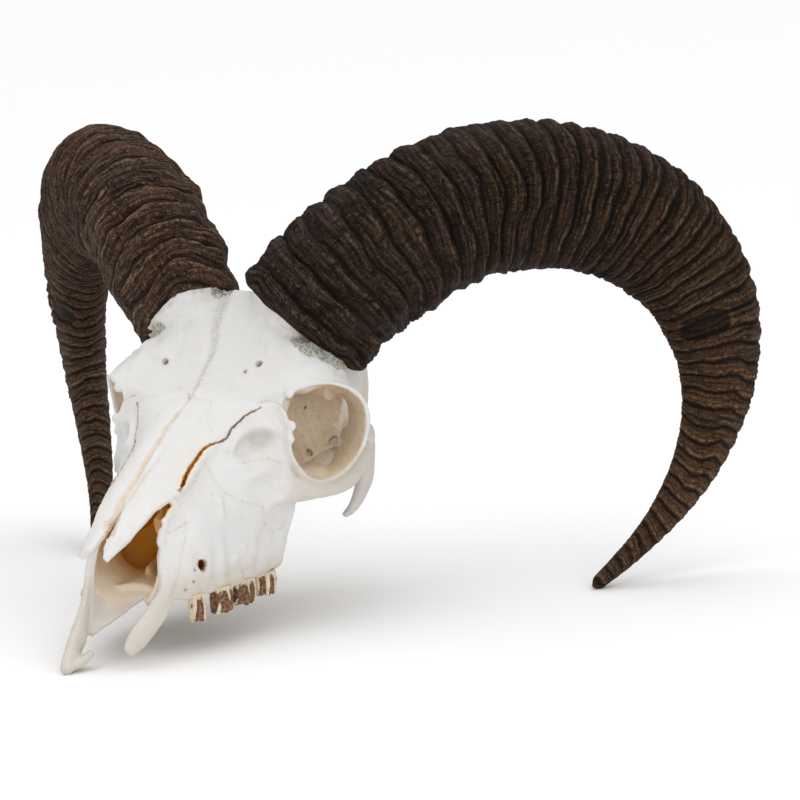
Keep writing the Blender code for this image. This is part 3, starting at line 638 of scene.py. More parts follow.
inner_plate = [
    [(15.5, -46, 40), (13.5, -47, 33), (8, -46, 28), (3, -44, 27)],
    [(15.5, -56, 37), (13.5, -58, 29), (9, -57, 24.5), (4, -55, 24)],
    [(15.5, -64, 32), (13.6, -66.5, 25), (10, -66, 21), (6, -63, 21.5)],
]
bones.append(sheet(inner_plate, -2.0, "inner_plate"))
print("bones in all:", len(bones))

# %% [markdown]
# ## One skin
#
# The bodies are joined and a voxel Remesh turns them into a single skin. A few smoothing passes take off
# the steps that voxels leave. Small islands inside closed hollows are thrown away, because they would never
# be seen.

# %% Melt the bones together
BONE_VOXEL = 0.62 * MM
BONE_SMOOTHING = 5


def join_all(objects, name):
    bpy.ops.object.select_all(action="DESELECT")
    for obj in objects:
        obj.select_set(True)
    bpy.context.view_layer.objects.active = objects[0]
    bpy.ops.object.join()
    joined = bpy.context.object
    joined.name = name
    return joined


def keep_largest_skin(obj):
    """Deletes every island of the mesh except the largest one."""
    bm = bmesh.new()
    bm.from_mesh(obj.data)
    waiting = set(bm.verts)
    islands = []
    while waiting:
        stack = [waiting.pop()]
        island = list(stack)
        while stack:
            for edge in stack.pop().link_edges:
                for other in edge.verts:
                    if other in waiting:
                        waiting.remove(other)
                        stack.append(other)
                        island.append(other)
        islands.append(island)
    islands.sort(key=len)
    bmesh.ops.delete(bm, geom=[v for island in islands[:-1] for v in island], context="VERTS")
    bm.to_mesh(obj.data)
    bm.free()


def soften(obj, passes, group=""):
    smooth = obj.modifiers.new("soften", "SMOOTH")
    smooth.factor = 0.5
    smooth.iterations = passes
    smooth.vertex_group = group


def melt(obj, voxel, passes):
    """Gives the object one even skin and smooths off the steps that voxels leave."""
    remesh = obj.modifiers.new("melt", "REMESH")
    remesh.mode = "VOXEL"
    remesh.voxel_size = voxel
    soften(obj, passes)
    apply_modifiers(obj)


bone = join_all(bones, "bone")
melt(bone, BONE_VOXEL, BONE_SMOOTHING)
keep_largest_skin(bone)
print("bone skin points:", len(bone.data.vertices))


# %% Ease the broad surfaces of the forehead and the face
EASE_PASSES = 70


def weigh(obj, name, weights):
    """A vertex group with the weights rounded to tenths."""
    group = obj.vertex_groups.new(name=name)
    tenths = np.round(np.clip(weights, 0, 1) * 10).astype(int)
    for tenth in range(1, 11):
        group.add(np.nonzero(tenths == tenth)[0].tolist(), tenth / 10, "REPLACE")
    return group


points = to_skull(read_points(bone.data))
wide = np.abs(points[:, 0])
brow = (rise(points[:, 2], 88, 96) * (1 - rise(wide, 30, 40)) * (1 - rise(points[:, 1], 22, 28)))
root = (rise(points[:, 2], 60, 70) * (1 - rise(wide, 30, 36)) * rise(points[:, 1], -48, -38)
        * (1 - rise(points[:, 1], -8, 0)))
cheek = (rise(wide, 17, 22) * (1 - rise(wide, 36, 40)) * rise(points[:, 1], -46, -36)
         * (1 - rise(points[:, 1], -10, -4)) * rise(points[:, 2], 32, 40))
weigh(bone, "broad", np.maximum(np.maximum(brow, root), cheek * 0.8))
soften(bone, EASE_PASSES, "broad")
apply_modifiers(bone)
bone.vertex_groups.clear()
print("eased points:", int((np.maximum(brow, root) > 0.1).sum()))

# %% [markdown]
# ## Marks on the bone
#
# Bones of a skull meet along sutures, thin wavy seams that stay visible for life. Vessels and nerves leave
# through small holes. The photograph shows where these marks run, so each one is named by a few points of
# the picture and the sight lines are landed on the bone. The right side gets the mirror image of what the
# left side shows.

# %% Where the marks run, as points of the picture
FISSURE = [(256, 410), (245, 416), (239, 422), (232, 428), (229, 434), (224, 440), (208, 446), (201, 452),
           (197, 458), (193, 464), (189, 470), (186, 476), (184, 482), (181, 488)]
# name: (points, depth in mm, wiggle in mm, how brown, both sides)
SEAMS = {
    "midline": ([(231, 292.5), (225, 301), (216, 325), (214, 347), (205, 368), (199, 381), (190, 397)],
                0.35, 1.3, 0.60, False),
    "nose_root": ([(188, 399), (194, 398), (210, 401), (207, 416), (212, 433)], 0.12, 0.8, 0.30, True),
    "orbit_seam": ([(256, 407), (264, 401), (272.5, 402), (279, 405), (285.5, 410)], 0.15, 0.6, 0.6, True),
    "tear_bone": ([(236, 464), (249, 462), (262, 458), (283, 463)], 0.12, 0.5, 0.5, True),
    "cheek_seam": ([(201, 455), (215, 482), (223, 490), (235.5, 500), (252, 503.5), (262, 507.6), (264, 523),
                    (276, 531), (286.5, 521)], 0.15, 0.9, 0.36, True),
    "front_seam": ([(186.5, 521), (186.5, 531), (182.4, 553.5), (178.4, 576), (173, 594), (166, 606.5)],
                   0.3, 0.15, 0.40, True),
    "front_seam_top": ([(166, 534), (174, 531), (180, 527), (186.5, 522)], 0.2, 0.6, 0.5, True),
}
GROOVE = [(184, 404), (172, 420), (165.5, 430), (159, 440), (152, 450), (146, 460), (134.5, 480), (121, 502),
          (111, 531)]
# ridges and furrows: points, height in mm, half width in mm
SWELLS = [
    ([(219, 495), (221, 509), (222, 524)], 1.2, 1.5),
    ([(243, 540), (247, 555), (252, 570)], 1.1, 1.8),
    ([(228, 520), (233, 540), (238, 560)], -1.1, 4.5),
    ([(205, 585), (222, 578), (240, 572), (258, 562)], -0.7, 3.0),
    ([(268, 491), (280, 487), (293, 487), (303, 489)], -1.7, 2.6),
    ([(230, 458), (237, 441), (250, 430), (268, 427), (283, 436)], 2.1, 2.3),
    ([(284, 452), (272, 463), (258, 475), (246, 485)], 1.0, 2.6),
    ([(300, 498), (285, 500), (270, 505), (262, 514)], 0.9, 2.0),
    ([(262, 525), (267, 542), (263, 558)], -1.0, 3.0),
    ([(279, 520), (281, 536), (279, 550)], 0.8, 1.8),
    ([(244, 373), (248, 350), (243, 330)], -0.35, 4.0),
]
# holes seen in the picture: point, radius in mm, depth in mm, both sides
HOLES = [((259, 364), 1.45, 6, True), ((245.5, 372), 0.6, 3, False), ((204, 565), 2.3, 7, True),
         ((195, 570), 0.55, 3, False), ((194, 582), 0.55, 3, False), ((186, 590), 0.5, 3, False),
         ((333, 439), 2.0, 7, True), ((310.5, 452), 1.7, 5, True), ((306, 408), 0.7, 3, True)]
# where the bone at the horns' edges was never cleaned
UNCLEAN = [(222, 288), (232, 287), (300, 348), (330, 358), (350, 374), (154, 338), (150, 346)]
# the sharp edge in front of the eye, and a point of the hollow below it
TEAR_STEP = [(229, 459), (236, 442), (249, 431), (268, 428), (283, 437)]
TEAR_PIT = (260, 449)
TEAR_PIT_REACH = 14.0
TEAR_PIT_DEPTH = 3.2
RIGHT_SOCKET_SHIFT = 4.2
BOTH_SIDES = (1, -1)          # the animal's left, then its right


def flip_to(side):
    """What turns a point of the animal's left into one of the given side."""
    return np.array((side, 1, 1))


print("seams named:", len(SEAMS), "holes named:", len(HOLES))

# %% Land sight lines on the bone
def tree_of(obj):
    return BVHTree.FromObject(obj, bpy.context.evaluated_depsgraph_get())


def land(tree, spots):
    """Where the sight lines through points of the picture meet the bone, and the bone's normals there."""
    eye = camera.matrix_world.translation
    met = [tree.ray_cast(eye, sight(px, py))[:2] for px, py in spots]
    met = [(where, normal) for where, normal in met if where is not None]
    points = np.array([where for where, _ in met]).reshape(-1, 3)
    return to_skull(points), np.array([normal for _, normal in met]).reshape(-1, 3)


def land_line(tree, spots, step=0.5):
    """A line of the picture as evenly spaced points on the bone, with normals and lengths along it."""
    points, normals = land(tree, smooth_through(spots, 8))
    lengths = np.concatenate([[0], np.cumsum(np.linalg.norm(np.diff(points, axis=0), axis=1))])
    even = np.arange(0, lengths[-1], step)
    points = np.stack([np.interp(even, lengths, points[:, k]) for k in range(3)], axis=1)
    normals = np.stack([np.interp(even, lengths, normals[:, k]) for k in range(3)], axis=1)
    normals /= np.linalg.norm(normals, axis=1, keepdims=True)
    return points, normals, even


def mirror_line(line):
    points, normals, lengths = line
    return points * flip_to(-1), normals * flip_to(-1), lengths


def holes(tree):
    """The place, direction, radius and depth of every hole, with those of the right side."""
    for spot, radius, depth, twice in HOLES:
        where, normal = land(tree, [spot])
        for side in BOTH_SIDES[:1 + twice]:
            yield where[0] * flip_to(side), normal[0] * flip_to(side), radius, depth


def beside(points, line, reach, facing=None):
    """For the points within reach of a line: their indices, signed distances across it, and lengths along it.

    With facing, the points' normals, only the skin that faces the same way as the line's own normals counts.
    """
    spots, normals, lengths = line
    low, high = spots.min(axis=0) - reach, spots.max(axis=0) + reach
    near = np.nonzero(np.all((points > low) & (points < high), axis=1))[0]
    ahead = np.gradient(spots, axis=0)
    ahead /= np.linalg.norm(ahead, axis=1, keepdims=True)
    sideways = np.cross(normals, ahead)
    kept, across, along = [], [], []
    for start in range(0, len(near), 20000):
        some = near[start:start + 20000]
        gap = points[some][:, None, :] - spots[None, :, :]
        closest = np.argmin((gap ** 2).sum(axis=2), axis=1)
        offset = gap[np.arange(len(some)), closest]
        within = np.linalg.norm(offset, axis=1) < reach
        if facing is not None:
            within &= (facing[some] * normals[closest]).sum(axis=1) > 0.1
        kept.append(some[within])
        across.append((offset * sideways[closest]).sum(axis=1)[within])
        along.append((lengths[closest] + (offset * ahead[closest]).sum(axis=1))[within])
    return np.concatenate(kept), np.concatenate(across), np.concatenate(along)


whole_bone = tree_of(bone)
seams = []
for word, (spots, depth, wiggle, brown, twice) in SEAMS.items():
    line = land_line(whole_bone, spots)
    seams.append((word, line, depth, wiggle, brown))
    if twice:
        seams.append((word + "_right", mirror_line(line), depth, wiggle, brown))
fissure = land_line(whole_bone, FISSURE)
groove = land_line(whole_bone, GROOVE)
swells = [(land_line(whole_bone, spots), height, half) for spots, height, half in SWELLS]
print("seams:", {word: round(float(line[2][-1]), 1) for word, line, *_ in seams})

# %% [markdown]
# ## Relief of the bone
#
# Real bone is never as even as a melted model. A slow unevenness of a few tenths of a millimetre runs all
# over it. In front of each eye the tear bone sinks in below a sharp curved edge. Low crests and furrows run
# over the cheek, the roots of the teeth swell it, and the bone swells and turns rough where it carries the
# horn.

# %% Raise and sink the skin
def normals_of(mesh):
    flat = np.empty(len(mesh.vertices) * 3)
    mesh.vertices.foreach_get("normal", flat)
    return flat.reshape(-1, 3)


def horn_collar(points):
    """How far up the horn's beam each point lies, in mm from the sheath's edge, and how near the beam it is."""
    start, forward, _, _ = horn_at(0)
    near_side = points * np.where(points[:, :1] < 0, (-1, 1, 1), (1, 1, 1))
    offset = near_side - start
    up = offset @ forward
    out = np.linalg.norm(offset - up[:, None] * forward, axis=1)
    return up + 4, out


points = to_skull(read_points(bone.data))
normals = normals_of(bone.data)
lift = 0.42 * noise(points / 9.0, 11) + 0.20 * noise(points / 3.6, 12) + 0.08 * noise(points / 1.5, 13)
wide = np.abs(points[:, 0])
flank = (rise(wide, 20, 26) * rise(points[:, 1], -62, -50) * (1 - rise(points[:, 1], -6, 2))
         * (1 - rise(points[:, 2], 76, 86)))
lift += flank * (0.55 * noise(points / 6.5, 16) + 0.28 * noise(points / 3.0, 17))
# the roots of the cheek teeth show as low bulges
roots = flank * rise(points[:, 2], 22, 27) * (1 - rise(points[:, 2], 36, 46))
lift += 0.5 * roots * np.sin(points[:, 1] * 0.75 + 0.8 * noise(points / 8.0, 18))
lining = rise(wide, 12, 20) * (1 - rise(wide, 40, 46)) * rise(points[:, 1], -2, 6) * rise(points[:, 2], 58, 64)
lift += (lining * (0.9 * noise(points / 6.0, 19) + 0.5 * noise(points / 2.8, 20))
         * (1 - rise(points[:, 1], 40, 50)))

sunk = np.zeros(points.shape)
pit, pit_normal = land(whole_bone, [TEAR_PIT])
tear_step = land_line(whole_bone, TEAR_STEP)
for side, one in zip(BOTH_SIDES, (tear_step, mirror_line(tear_step))):
    flip = flip_to(side)
    inside = np.sign(beside(pit * flip, one, TEAR_PIT_REACH)[1][0])
    near, across, along = beside(points, one, TEAR_PIT_REACH)
    below = across * inside
    # steep right under the edge, and a long slope away from it
    hollow = rise(below, 0.2, 2.4) * (1 - rise(below, 3.5, TEAR_PIT_REACH - 1.5))
    hollow *= rise(along, 0, 5) * (1 - rise(along, one[2][-1] - 6, one[2][-1]))
    hollow *= np.abs((points[near] - pit[0] * flip) @ (pit_normal[0] * flip)) < 7
    sunk[near] += (TEAR_PIT_DEPTH * hollow)[:, None] * (pit_normal[0] * flip)

for line, height, half in swells:
    for one in (line, mirror_line(line)):
        near, across, along = beside(points, one, half * 2.6, normals)
        ends = rise(along, 0, 3) * (1 - rise(along, one[2][-1] - 3, one[2][-1]))
        lift[near] += height * np.exp(-(across / half) ** 2) * ends
for word, line, depth, wiggle, brown in seams:
    near, across, along = beside(points, line, 4.0, normals)
    lift[near] -= depth * np.exp(-(across / 0.8) ** 2)
    if word == "midline":
        ripple = np.sin(along * 2.2 + 1.5 * np.sin(along * 0.7)) * np.exp(-(across / 2.4) ** 2)
        lift[near] += 0.30 * ripple * np.sign(across) * (1 - 0.75 * rise(along, 15, 42))
near, across, along = beside(points, groove, 4.0, normals)
lift[near] -= 0.9 * np.exp(-(across / (0.5 + 0.02 * along)) ** 2)

up, out = horn_collar(points)
collar = rise(up, -5, -1) * (out < 40) * (points[:, 2] > 88)
lift += collar * (0.2 + 0.6 * noise(points / 2.6, 14) + 0.4 * noise(points / 1.3, 15))

points = points + normals * lift[:, None] - sunk
# the animal's right socket stands a little nearer to the middle
points[:, 0] += (RIGHT_SOCKET_SHIFT * rise(-points[:, 0], 28, 58) * rise(points[:, 2], 40, 60)
                 * (1 - rise(points[:, 1], 26, 50)))
write_points(bone.data, place(points))
print("relief from", round(float(lift.min()), 2), "to", round(float(lift.max()), 2), "mm")

# %% [markdown]
# ## Cracks and holes
#
# The seam between the nasal bone and the cheek has opened into a crack that runs down to the nose. A
# wedge-shaped ribbon cuts it. The holes for vessels are cut with slightly funnelled pegs, so that their
# edges are soft.

# %% Cut the crack and the holes
def strip_cutter(line, half_widths, above, below, name):
    """A ribbon that stands on edge along a line of the bone."""
    points, normals, lengths = line
    ahead = np.gradient(points, axis=0)
    ahead /= np.linalg.norm(ahead, axis=1, keepdims=True)
    sideways = np.cross(normals, ahead)
    half = np.interp(lengths / lengths[-1], *half_widths)[:, None] * sideways
    sway = (0.28 * np.sin(lengths * 1.9) + 0.2 * np.sin(lengths * 4.3))[:, None] * sideways
    return tube(place(np.stack([points + sway - half + normals * above, points + sway + half + normals * above,
                                points + sway + half * 0.5 - normals * below,
                                points + sway - half * 0.5 - normals * below], axis=1)), name)


def peg(where, normal, radius, depth, name):
    """A funnelled peg that stands in the bone along its normal."""
    across = np.cross(normal, (0.3, 0.2, 0.9))
    across /= np.linalg.norm(across)
    upright = np.cross(normal, across)
    turn = 2 * math.pi * np.arange(16) / 16
    rings = []
    for height, size in ((2.5, 1.9), (0.35, 1.25), (-0.5, 1.0), (-depth, 0.75)):
        rings.append(where + normal * height + radius * size * (np.outer(np.cos(turn), across)
                                                                + np.outer(np.sin(turn), upright)))
    return tube(place(rings), name)


cutters = [strip_cutter(one, ((0, 0.1, 0.45, 1), (0.12, 0.22, 0.36, 0.8)), 3.0, 6.0, "crack")
           for one in (fissure, mirror_line(fissure))]
cutters += [peg(*hole, "hole") for hole in holes(whole_bone)]
cutter = join_all(cutters, "bone_cutter")
mend(cutter)
cut = bone.modifiers.new("cut", "BOOLEAN")
cut.operation = "DIFFERENCE"
cut.solver = "MANIFOLD"
cut.object = cutter
apply_modifiers(bone)
bpy.data.objects.remove(cutter)
keep_largest_skin(bone)
print("bone points after the cuts:", len(bone.data.vertices))

# %% Thin it out and shade it
BONE_TRIANGLES = 194000


def thin_out(obj, triangles):
    now = sum(len(p.vertices) - 2 for p in obj.data.polygons)
    if now > triangles:
        thin = obj.modifiers.new("thin", "DECIMATE")
        thin.ratio = triangles / now
        apply_modifiers(obj)


thin_out(bone, BONE_TRIANGLES)
bone.data.shade_smooth()
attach(bone, "root")
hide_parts("cranium")
print("bone triangles:", sum(len(p.vertices) - 2 for p in bone.data.polygons))

# %% [markdown]
# ## What the colour needs to know
#
# Bleaching whitens what light and liquid reach. Deep hollows keep the brown of old fat and earth. So each
# point of the bone is told how hollow its place is, by sending a few rays outwards and counting those that
# meet bone soon. The finish tints the hollows from this, partly as that stain and partly as painted shade, and
# a count with a short reach darkens the creases as painted shade. The distances to the seams are kept as
# well, and the finish draws the thin wavy lines from them.

# %% Measure hollows
HOLLOW_REACH = 50 * MM
# reach of the short count that places painted shade in creases
CREASE_SHADE_REACH = 8 * MM


def keep(mesh, name, values):
    values = np.asarray(values, np.float32)
    kind = "FLOAT" if values.ndim == 1 else "FLOAT_VECTOR"
    field = mesh.attributes.new(name, kind, "POINT")
    field.data.foreach_set("value" if values.ndim == 1 else "vector", values.ravel())


def hollowness(obj, reach, rays=10, blur=4):
    """Share of the rays from each point that meet the object within reach metres."""
    tree = tree_of(obj)
    where = read_points(obj.data)
    outward = normals_of(obj.data)
    rng = np.random.default_rng(4)
    spread = rng.normal(size=(rays, 3))
    spread /= np.linalg.norm(spread, axis=1, keepdims=True)
    met = np.zeros(len(where))
    for ray in spread:
        ways = outward * 1.05 + ray
        ways /= np.linalg.norm(ways, axis=1, keepdims=True)
        starts = where + outward * 0.0004
        cast = tree.ray_cast
        met += [cast(start, way, reach)[0] is not None for start, way in zip(starts.tolist(), ways.tolist())]
    share = met / rays
    edges = np.empty(len(obj.data.edges) * 2, np.int64)
    obj.data.edges.foreach_get("vertices", edges)
    edges = edges.reshape(-1, 2)
    for _ in range(blur):
        total = share.copy()
        count = np.ones(len(share))
        np.add.at(total, edges[:, 0], share[edges[:, 1]])
        np.add.at(total, edges[:, 1], share[edges[:, 0]])
        np.add.at(count, edges[:, 0], 1)
        np.add.at(count, edges[:, 1], 1)
        share = total / count
    return share


points = to_skull(read_points(bone.data))
hollow = hollowness(bone, HOLLOW_REACH)
keep(bone.data, "hollow", hollow)
keep(bone.data, "painted_crease_shade", hollowness(bone, CREASE_SHADE_REACH, rays=8, blur=2))
print("hollow, mean:", round(float(hollow.mean()), 3))

# %% Measure distances to the seams
facing = normals_of(bone.data)
across_all = np.full(len(points), 9.0)
along_all = np.zeros(len(points))
wiggle_all = np.zeros(len(points))
brown_all = np.zeros(len(points))
squiggle = np.zeros(len(points))
for word, line, depth, wiggle, brown in seams:
    near, across, along = beside(points, line, 7.0, facing)
    closer = np.abs(across) < np.abs(across_all[near])
    near, across, along = near[closer], across[closer], along[closer]
    across_all[near] = across
    along_all[near] = along
    ends = 1 - rise(-along, 0.0, 0.6) - rise(along, line[2][-1], line[2][-1] + 0.6)
    if word == "midline":
        brown_all[near] = brown * ends * (0.12 + 0.88 * rise(along, 28, 46))
        wiggle_all[near] = wiggle * (1 - 0.75 * rise(along, 5, 45))
        band = 3.4 - 2.3 * rise(along, 0, 48)
        squiggle[near] = (1 - rise(np.abs(across), band * 0.6, band)) * ends * rise(along, 0, 5)
    else:
        brown_all[near] = brown * ends
        wiggle_all[near] = wiggle
for word, values in (("seam_across", across_all), ("seam_along", along_all), ("seam_wiggle", wiggle_all),
                     ("seam_brown", brown_all), ("squiggle", squiggle)):
    keep(bone.data, word, values)
print("points near a seam:", int((np.abs(across_all) < 9).sum()))

# %% Mark the brown places
tan = np.zeros(len(points))
near, across, along = beside(points, groove, 4.0, facing)
tan[near] = (1 - rise(np.abs(across), 0.4 + 0.012 * along, 1.0 + 0.025 * along)) * rise(along, 0, 6)
keep(bone.data, "groove", tan)
# the crack and its edges, and the holes from just below the surface, are painted dark brown
crack_and_hole_brown = np.zeros(len(points))
for one in (fissure, mirror_line(fissure)):
    near, across, along = beside(points, one, 3.0)
    reach = 0.5 + 0.5 * rise(along, 10, one[2][-1])
    crack_and_hole_brown[near] = np.maximum(crack_and_hole_brown[near], 1 - rise(np.abs(across), reach * 0.3, reach * 1.1))
for where, normal, radius, depth in holes(whole_bone):
    offset = points - where
    down = -(offset @ normal)
    aside = np.linalg.norm(offset + down[:, None] * normal, axis=1)
    crack_and_hole_brown = np.maximum(crack_and_hole_brown, (aside < radius * 1.15) * (down < depth + 1) * rise(down, 0.2, 1.2))
keep(bone.data, "crack_and_hole_brown", crack_and_hole_brown)
# fat and earth left in the pores: near the teeth, on the cheek arch and towards the back of the skull
warm = np.maximum.reduce([
    1 - rise(points[:, 2], 22, 44),
    (1 - rise(np.abs(points[:, 2] - 60), 6, 16)) * rise(np.abs(points[:, 0]), 34, 46),
    rise(points[:, 1], 20, 60) * 0.8,
])
keep(bone.data, "warm", warm)

inner_skin = points[:, 0] * facing[:, 0] < 0
sideways = np.where(inner_skin, 1 - rise(np.abs(points[:, 0]), 30, 33), 1 - rise(np.abs(points[:, 0]), 17, 21))
# only the skin that looks inwards counts, so that the outer face of the nose stays white
in_nose = (sideways * rise(points[:, 1], -82, -74) * (1 - rise(points[:, 1], -28, -14))
           * (1 - rise(points[:, 2], 92, 98)) * rise(points[:, 2], 12, 30))
deep = rise(points[:, 1] + 0.4 * (points[:, 2] - 30), -74, -22)
keep(bone.data, "amber", in_nose * rise(hollow, 0.22, 0.42) * (0.16 + 0.84 * deep))
in_socket = (rise(np.abs(points[:, 0]), 10, 16) * rise(points[:, 1], -5, 2) * (1 - rise(points[:, 1], 48, 62))
             * rise(points[:, 2], 54, 59) * (1 - rise(points[:, 2], 99, 103)))
keep(bone.data, "beige", in_socket * rise(hollow, 0.08, 0.30))
up, out = horn_collar(points)
patch = np.full(len(points), 0.12)
for spot in UNCLEAN:
    for where in land(whole_bone, [spot])[0]:
        patch = np.maximum(patch, 1 - rise(np.linalg.norm(points - where, axis=1), 4, 10))
collar = rise(up, -8.0, -3.0) * (out < 42) * (points[:, 2] > 84) * patch * (1 - rise(points[:, 1], 26, 36))
keep(bone.data, "collar", collar)
print("amber points:", int((in_nose * hollow > 0.4).sum()), "collar points:", int((collar > 0.4).sum()))

# %% [markdown]
# ## Horns
#
# A mouflon's horn grows from its base in rings. Each ring rises slowly and drops off steeply, like
# overlapping tiles, so a thin pale edge stands beside a dark groove. The rings are coarse and lumpy near
# the base and fine towards the tip, with wrinkles that follow them, and all of them waver. The sheath is a
# fine grid rolled into a tube, and every point is lifted off the plain surface by the sum of these waves.

# %% Horn surface
HORN_RINGS = 860
HORN_SIDES = 112
# along the horn: how far the outer side of a ring bows towards the tip, in mm
RING_BOW = ((0, 0.10, 0.19, 0.33, 0.45, 0.6, 1.0), (1.5, 3.5, 6.0, 3.2, 2.6, 1.2, 1.0))
BOW_TURN = 4.45
RING_PITCH = ((0, 0.12, 0.35, 0.6, 0.8, 1.0), (11.0, 9.5, 7.8, 7.0, 7.0, 6.0))
RING_HEIGHT = ((0, 0.06, 0.3, 0.55, 0.7, 0.85, 1.0), (1.3, 2.0, 1.8, 1.3, 0.8, 0.4, 0.15))
WRINKLE_PITCH = 2.3
SCAR = (0.613, 5.08)          # share of the length and turn in radians
SCAR_SIZE = (7.0, 0.78)       # half length in mm and half width in radians
# red, green and blue strength near the base, in the middle and towards the tip; 1 is the animal's left.
# The right sheath is painted lighter than the left one, partly as painted light
TONE_SHARES = (0.08, 0.4, 0.8)
SHEATH_TONE_AND_LIGHT = {1: ((0.64, 0.68, 1.32), (0.63, 0.58, 1.14), (0.63, 0.49, 0.98)),
              -1: ((1.48, 1.42, 1.40), (1.30, 1.25, 1.24), (1.24, 1.18, 1.18))}

# how many rings have passed at each share of the length
RING_SHARES = np.linspace(0, 1.1, 800)
_steps = np.diff(RING_SHARES) * HORN_LENGTH / np.interp(RING_SHARES[1:], *RING_PITCH)
RINGS_PASSED = np.concatenate([[0], np.cumsum(_steps)])
print("rings on a horn:", round(float(np.interp(1.0, RING_SHARES, RINGS_PASSED)), 1))


def horn_relief(s_mm, turn, seed):
    """Height of the sheath's surface, and its ring and wrinkle profiles, at length s_mm and turn round it."""
    share = s_mm / HORN_LENGTH
    around = np.stack([np.cos(turn), np.sin(turn)], axis=-1)

    def wave(scale_round, scale_along, number):
        points = np.stack([around[:, 0] * scale_round + 7.3, around[:, 1] * scale_round + 3.1,
                           s_mm * scale_along + 5.7 * seed], axis=1)
        return noise(points, number + 40 * seed)

    lead = np.interp(share, *RING_BOW) * np.cos(turn - BOW_TURN)
    base = 1 - rise(share, 0.12, 0.42)
    wander = ((1.8 + 1.6 * base) * wave(1.0, 0.03, 1) + (0.7 + 0.7 * base) * wave(2.2, 0.08, 2)
              + 0.35 * wave(8, 0.2, 8))
    ring = (np.interp((s_mm - lead + wander) / HORN_LENGTH + 0.05, RING_SHARES, RINGS_PASSED)
            + 0.22 * wave(2.1, 0.05, 9))
    part = ring - np.floor(ring)
    profile = np.sin(math.pi * np.clip(part, 0, 1) ** 1.5) ** (0.75 - 0.25 * base)
    big = 0.9 + 0.55 * wave(0.6, 0.13, 21)
    uneven = np.clip(big * (1 + (0.4 + 0.6 * base) * wave(1.8, 0.10, 3)), 0.12, 2)
    height = np.interp(share, *RING_HEIGHT) * uneven
    outer = 0.75 + 0.25 * -np.cos(turn)
    fold = (s_mm - lead + 1.3 * wander + 0.55 * wave(5.0, 0.25, 4)) / WRINKLE_PITCH
    fold_part = fold - np.floor(fold)
    wrinkle = np.sin(math.pi * fold_part ** 1.4) ** 0.8
    fold_height = (0.34 + 0.30 * wave(1.9, 0.16, 5)) * (1 - 0.5 * rise(share, 0.7, 1.0))
    lumps = (0.5 + 1.5 * base) * wave(2.6, 0.12, 6) + (0.3 + 0.8 * base) * wave(6.0, 0.24, 7) \
        + 0.20 * wave(18.0, 0.75, 10)
    lift = height * outer * (profile - 0.62) + np.clip(fold_height, 0.04, 1) * (wrinkle - 0.6) \
        + lumps * (0.25 + 0.75 * (1 - rise(share, 0.55, 0.9)))
    scar = (((s_mm - SCAR[0] * HORN_LENGTH) / SCAR_SIZE[0]) ** 2
            + ((np.mod(turn - SCAR[1] + math.pi, 2 * math.pi) - math.pi) / SCAR_SIZE[1]) ** 2)
    scar *= (1 + 0.30 * wave(3.0, 0.15, 22) + 0.15 * wave(8.0, 0.5, 23)) ** 2
    scarred = 1 - rise(np.sqrt(scar), 0.72, 1.0)
    lift = lift * (1 - 0.8 * scarred) - 1.3 * scarred + 0.7 * np.exp(-((np.sqrt(scar) - 1.12) / 0.14) ** 2)
    return lift, part, profile, wrinkle, scarred, s_mm - lead + wander


def make_sheath(name, side, seed):
    stations = np.linspace(HORN_START, 1.0, HORN_RINGS)
    turn = 2 * math.pi * (np.arange(HORN_SIDES) + 0.5) / HORN_SIDES
    s_grid, turn_grid = np.meshgrid(stations * HORN_LENGTH, turn, indexing="ij")
    s_all, turn_all = s_grid.ravel(), turn_grid.ravel()
    lift, part, profile, wrinkle, scarred, flow = horn_relief(s_all, turn_all, seed)
    from_start = (s_all / HORN_LENGTH - HORN_START) * HORN_LENGTH
    lift = lift * rise(from_start, 0.0, 4.0)
    lift -= 2.6 * (1 - np.sqrt(1 - (1 - np.clip(from_start / 3.2, 0, 1)) ** 2))
    lift = (lift * (1 - 0.75 * rise(s_all / HORN_LENGTH, 0.93, 1.0))).reshape(s_grid.shape)
    rings = horn_rings(stations, turn, lift)
    forward = np.array([horn_at(s)[1] for s in stations])
    round_edge = np.stack([np.cos(turn) * 3, np.sin(turn) * 3, np.full(len(turn), 1.0 + seed)], axis=1)
    edge = 1.3 * noise(round_edge, 31)
    fading = (1 - rise(stations * HORN_LENGTH, 0, 14))[:, None]
    rings += (edge[None, :] * fading)[:, :, None] * forward[:, None, :]
    end = rise(stations, 0.988, 1.0)
    middle = rings.mean(axis=1, keepdims=True)
    rings = middle + (rings - middle) * np.sqrt(np.clip(1 - end ** 2 * 0.85, 0.05, 1))[:, None, None]
    obj = tube(place(rings * np.array((side, 1, 1))), name)
    # the merge keeps the first column of points and drops the last, which is the first once more
    share_all = s_all / HORN_LENGTH
    radius = np.interp(share_all, HORN_STATIONS, HORN_HALF_DEPTH)
    # tone of each sheath from base to tip; the right sheath's lighter tone is partly painted light
    tone_and_light = np.stack([np.interp(share_all, TONE_SHARES, strengths) for strengths in SHEATH_TONE_AND_LIGHT[side]], axis=1)
    fields = {"horn_map": np.stack([radius * np.cos(turn_all), radius * np.sin(turn_all), flow], axis=1),
              "ring_part": part, "ring_profile": profile, "wrinkle": wrinkle, "scar": scarred,
              "horn_share": share_all, "tone_and_light": tone_and_light}
    flat = place(rings * np.array((side, 1, 1))).reshape(-1, 3)
    now = read_points(obj.data)
    tree = KDTree(len(flat))
    for i, point in enumerate(flat.tolist()):
        tree.insert(point, i)
    tree.balance()
    order = np.array([tree.find(point)[1] for point in now.tolist()])
    for word, values in fields.items():
        keep(obj.data, word, values[order])
    return obj


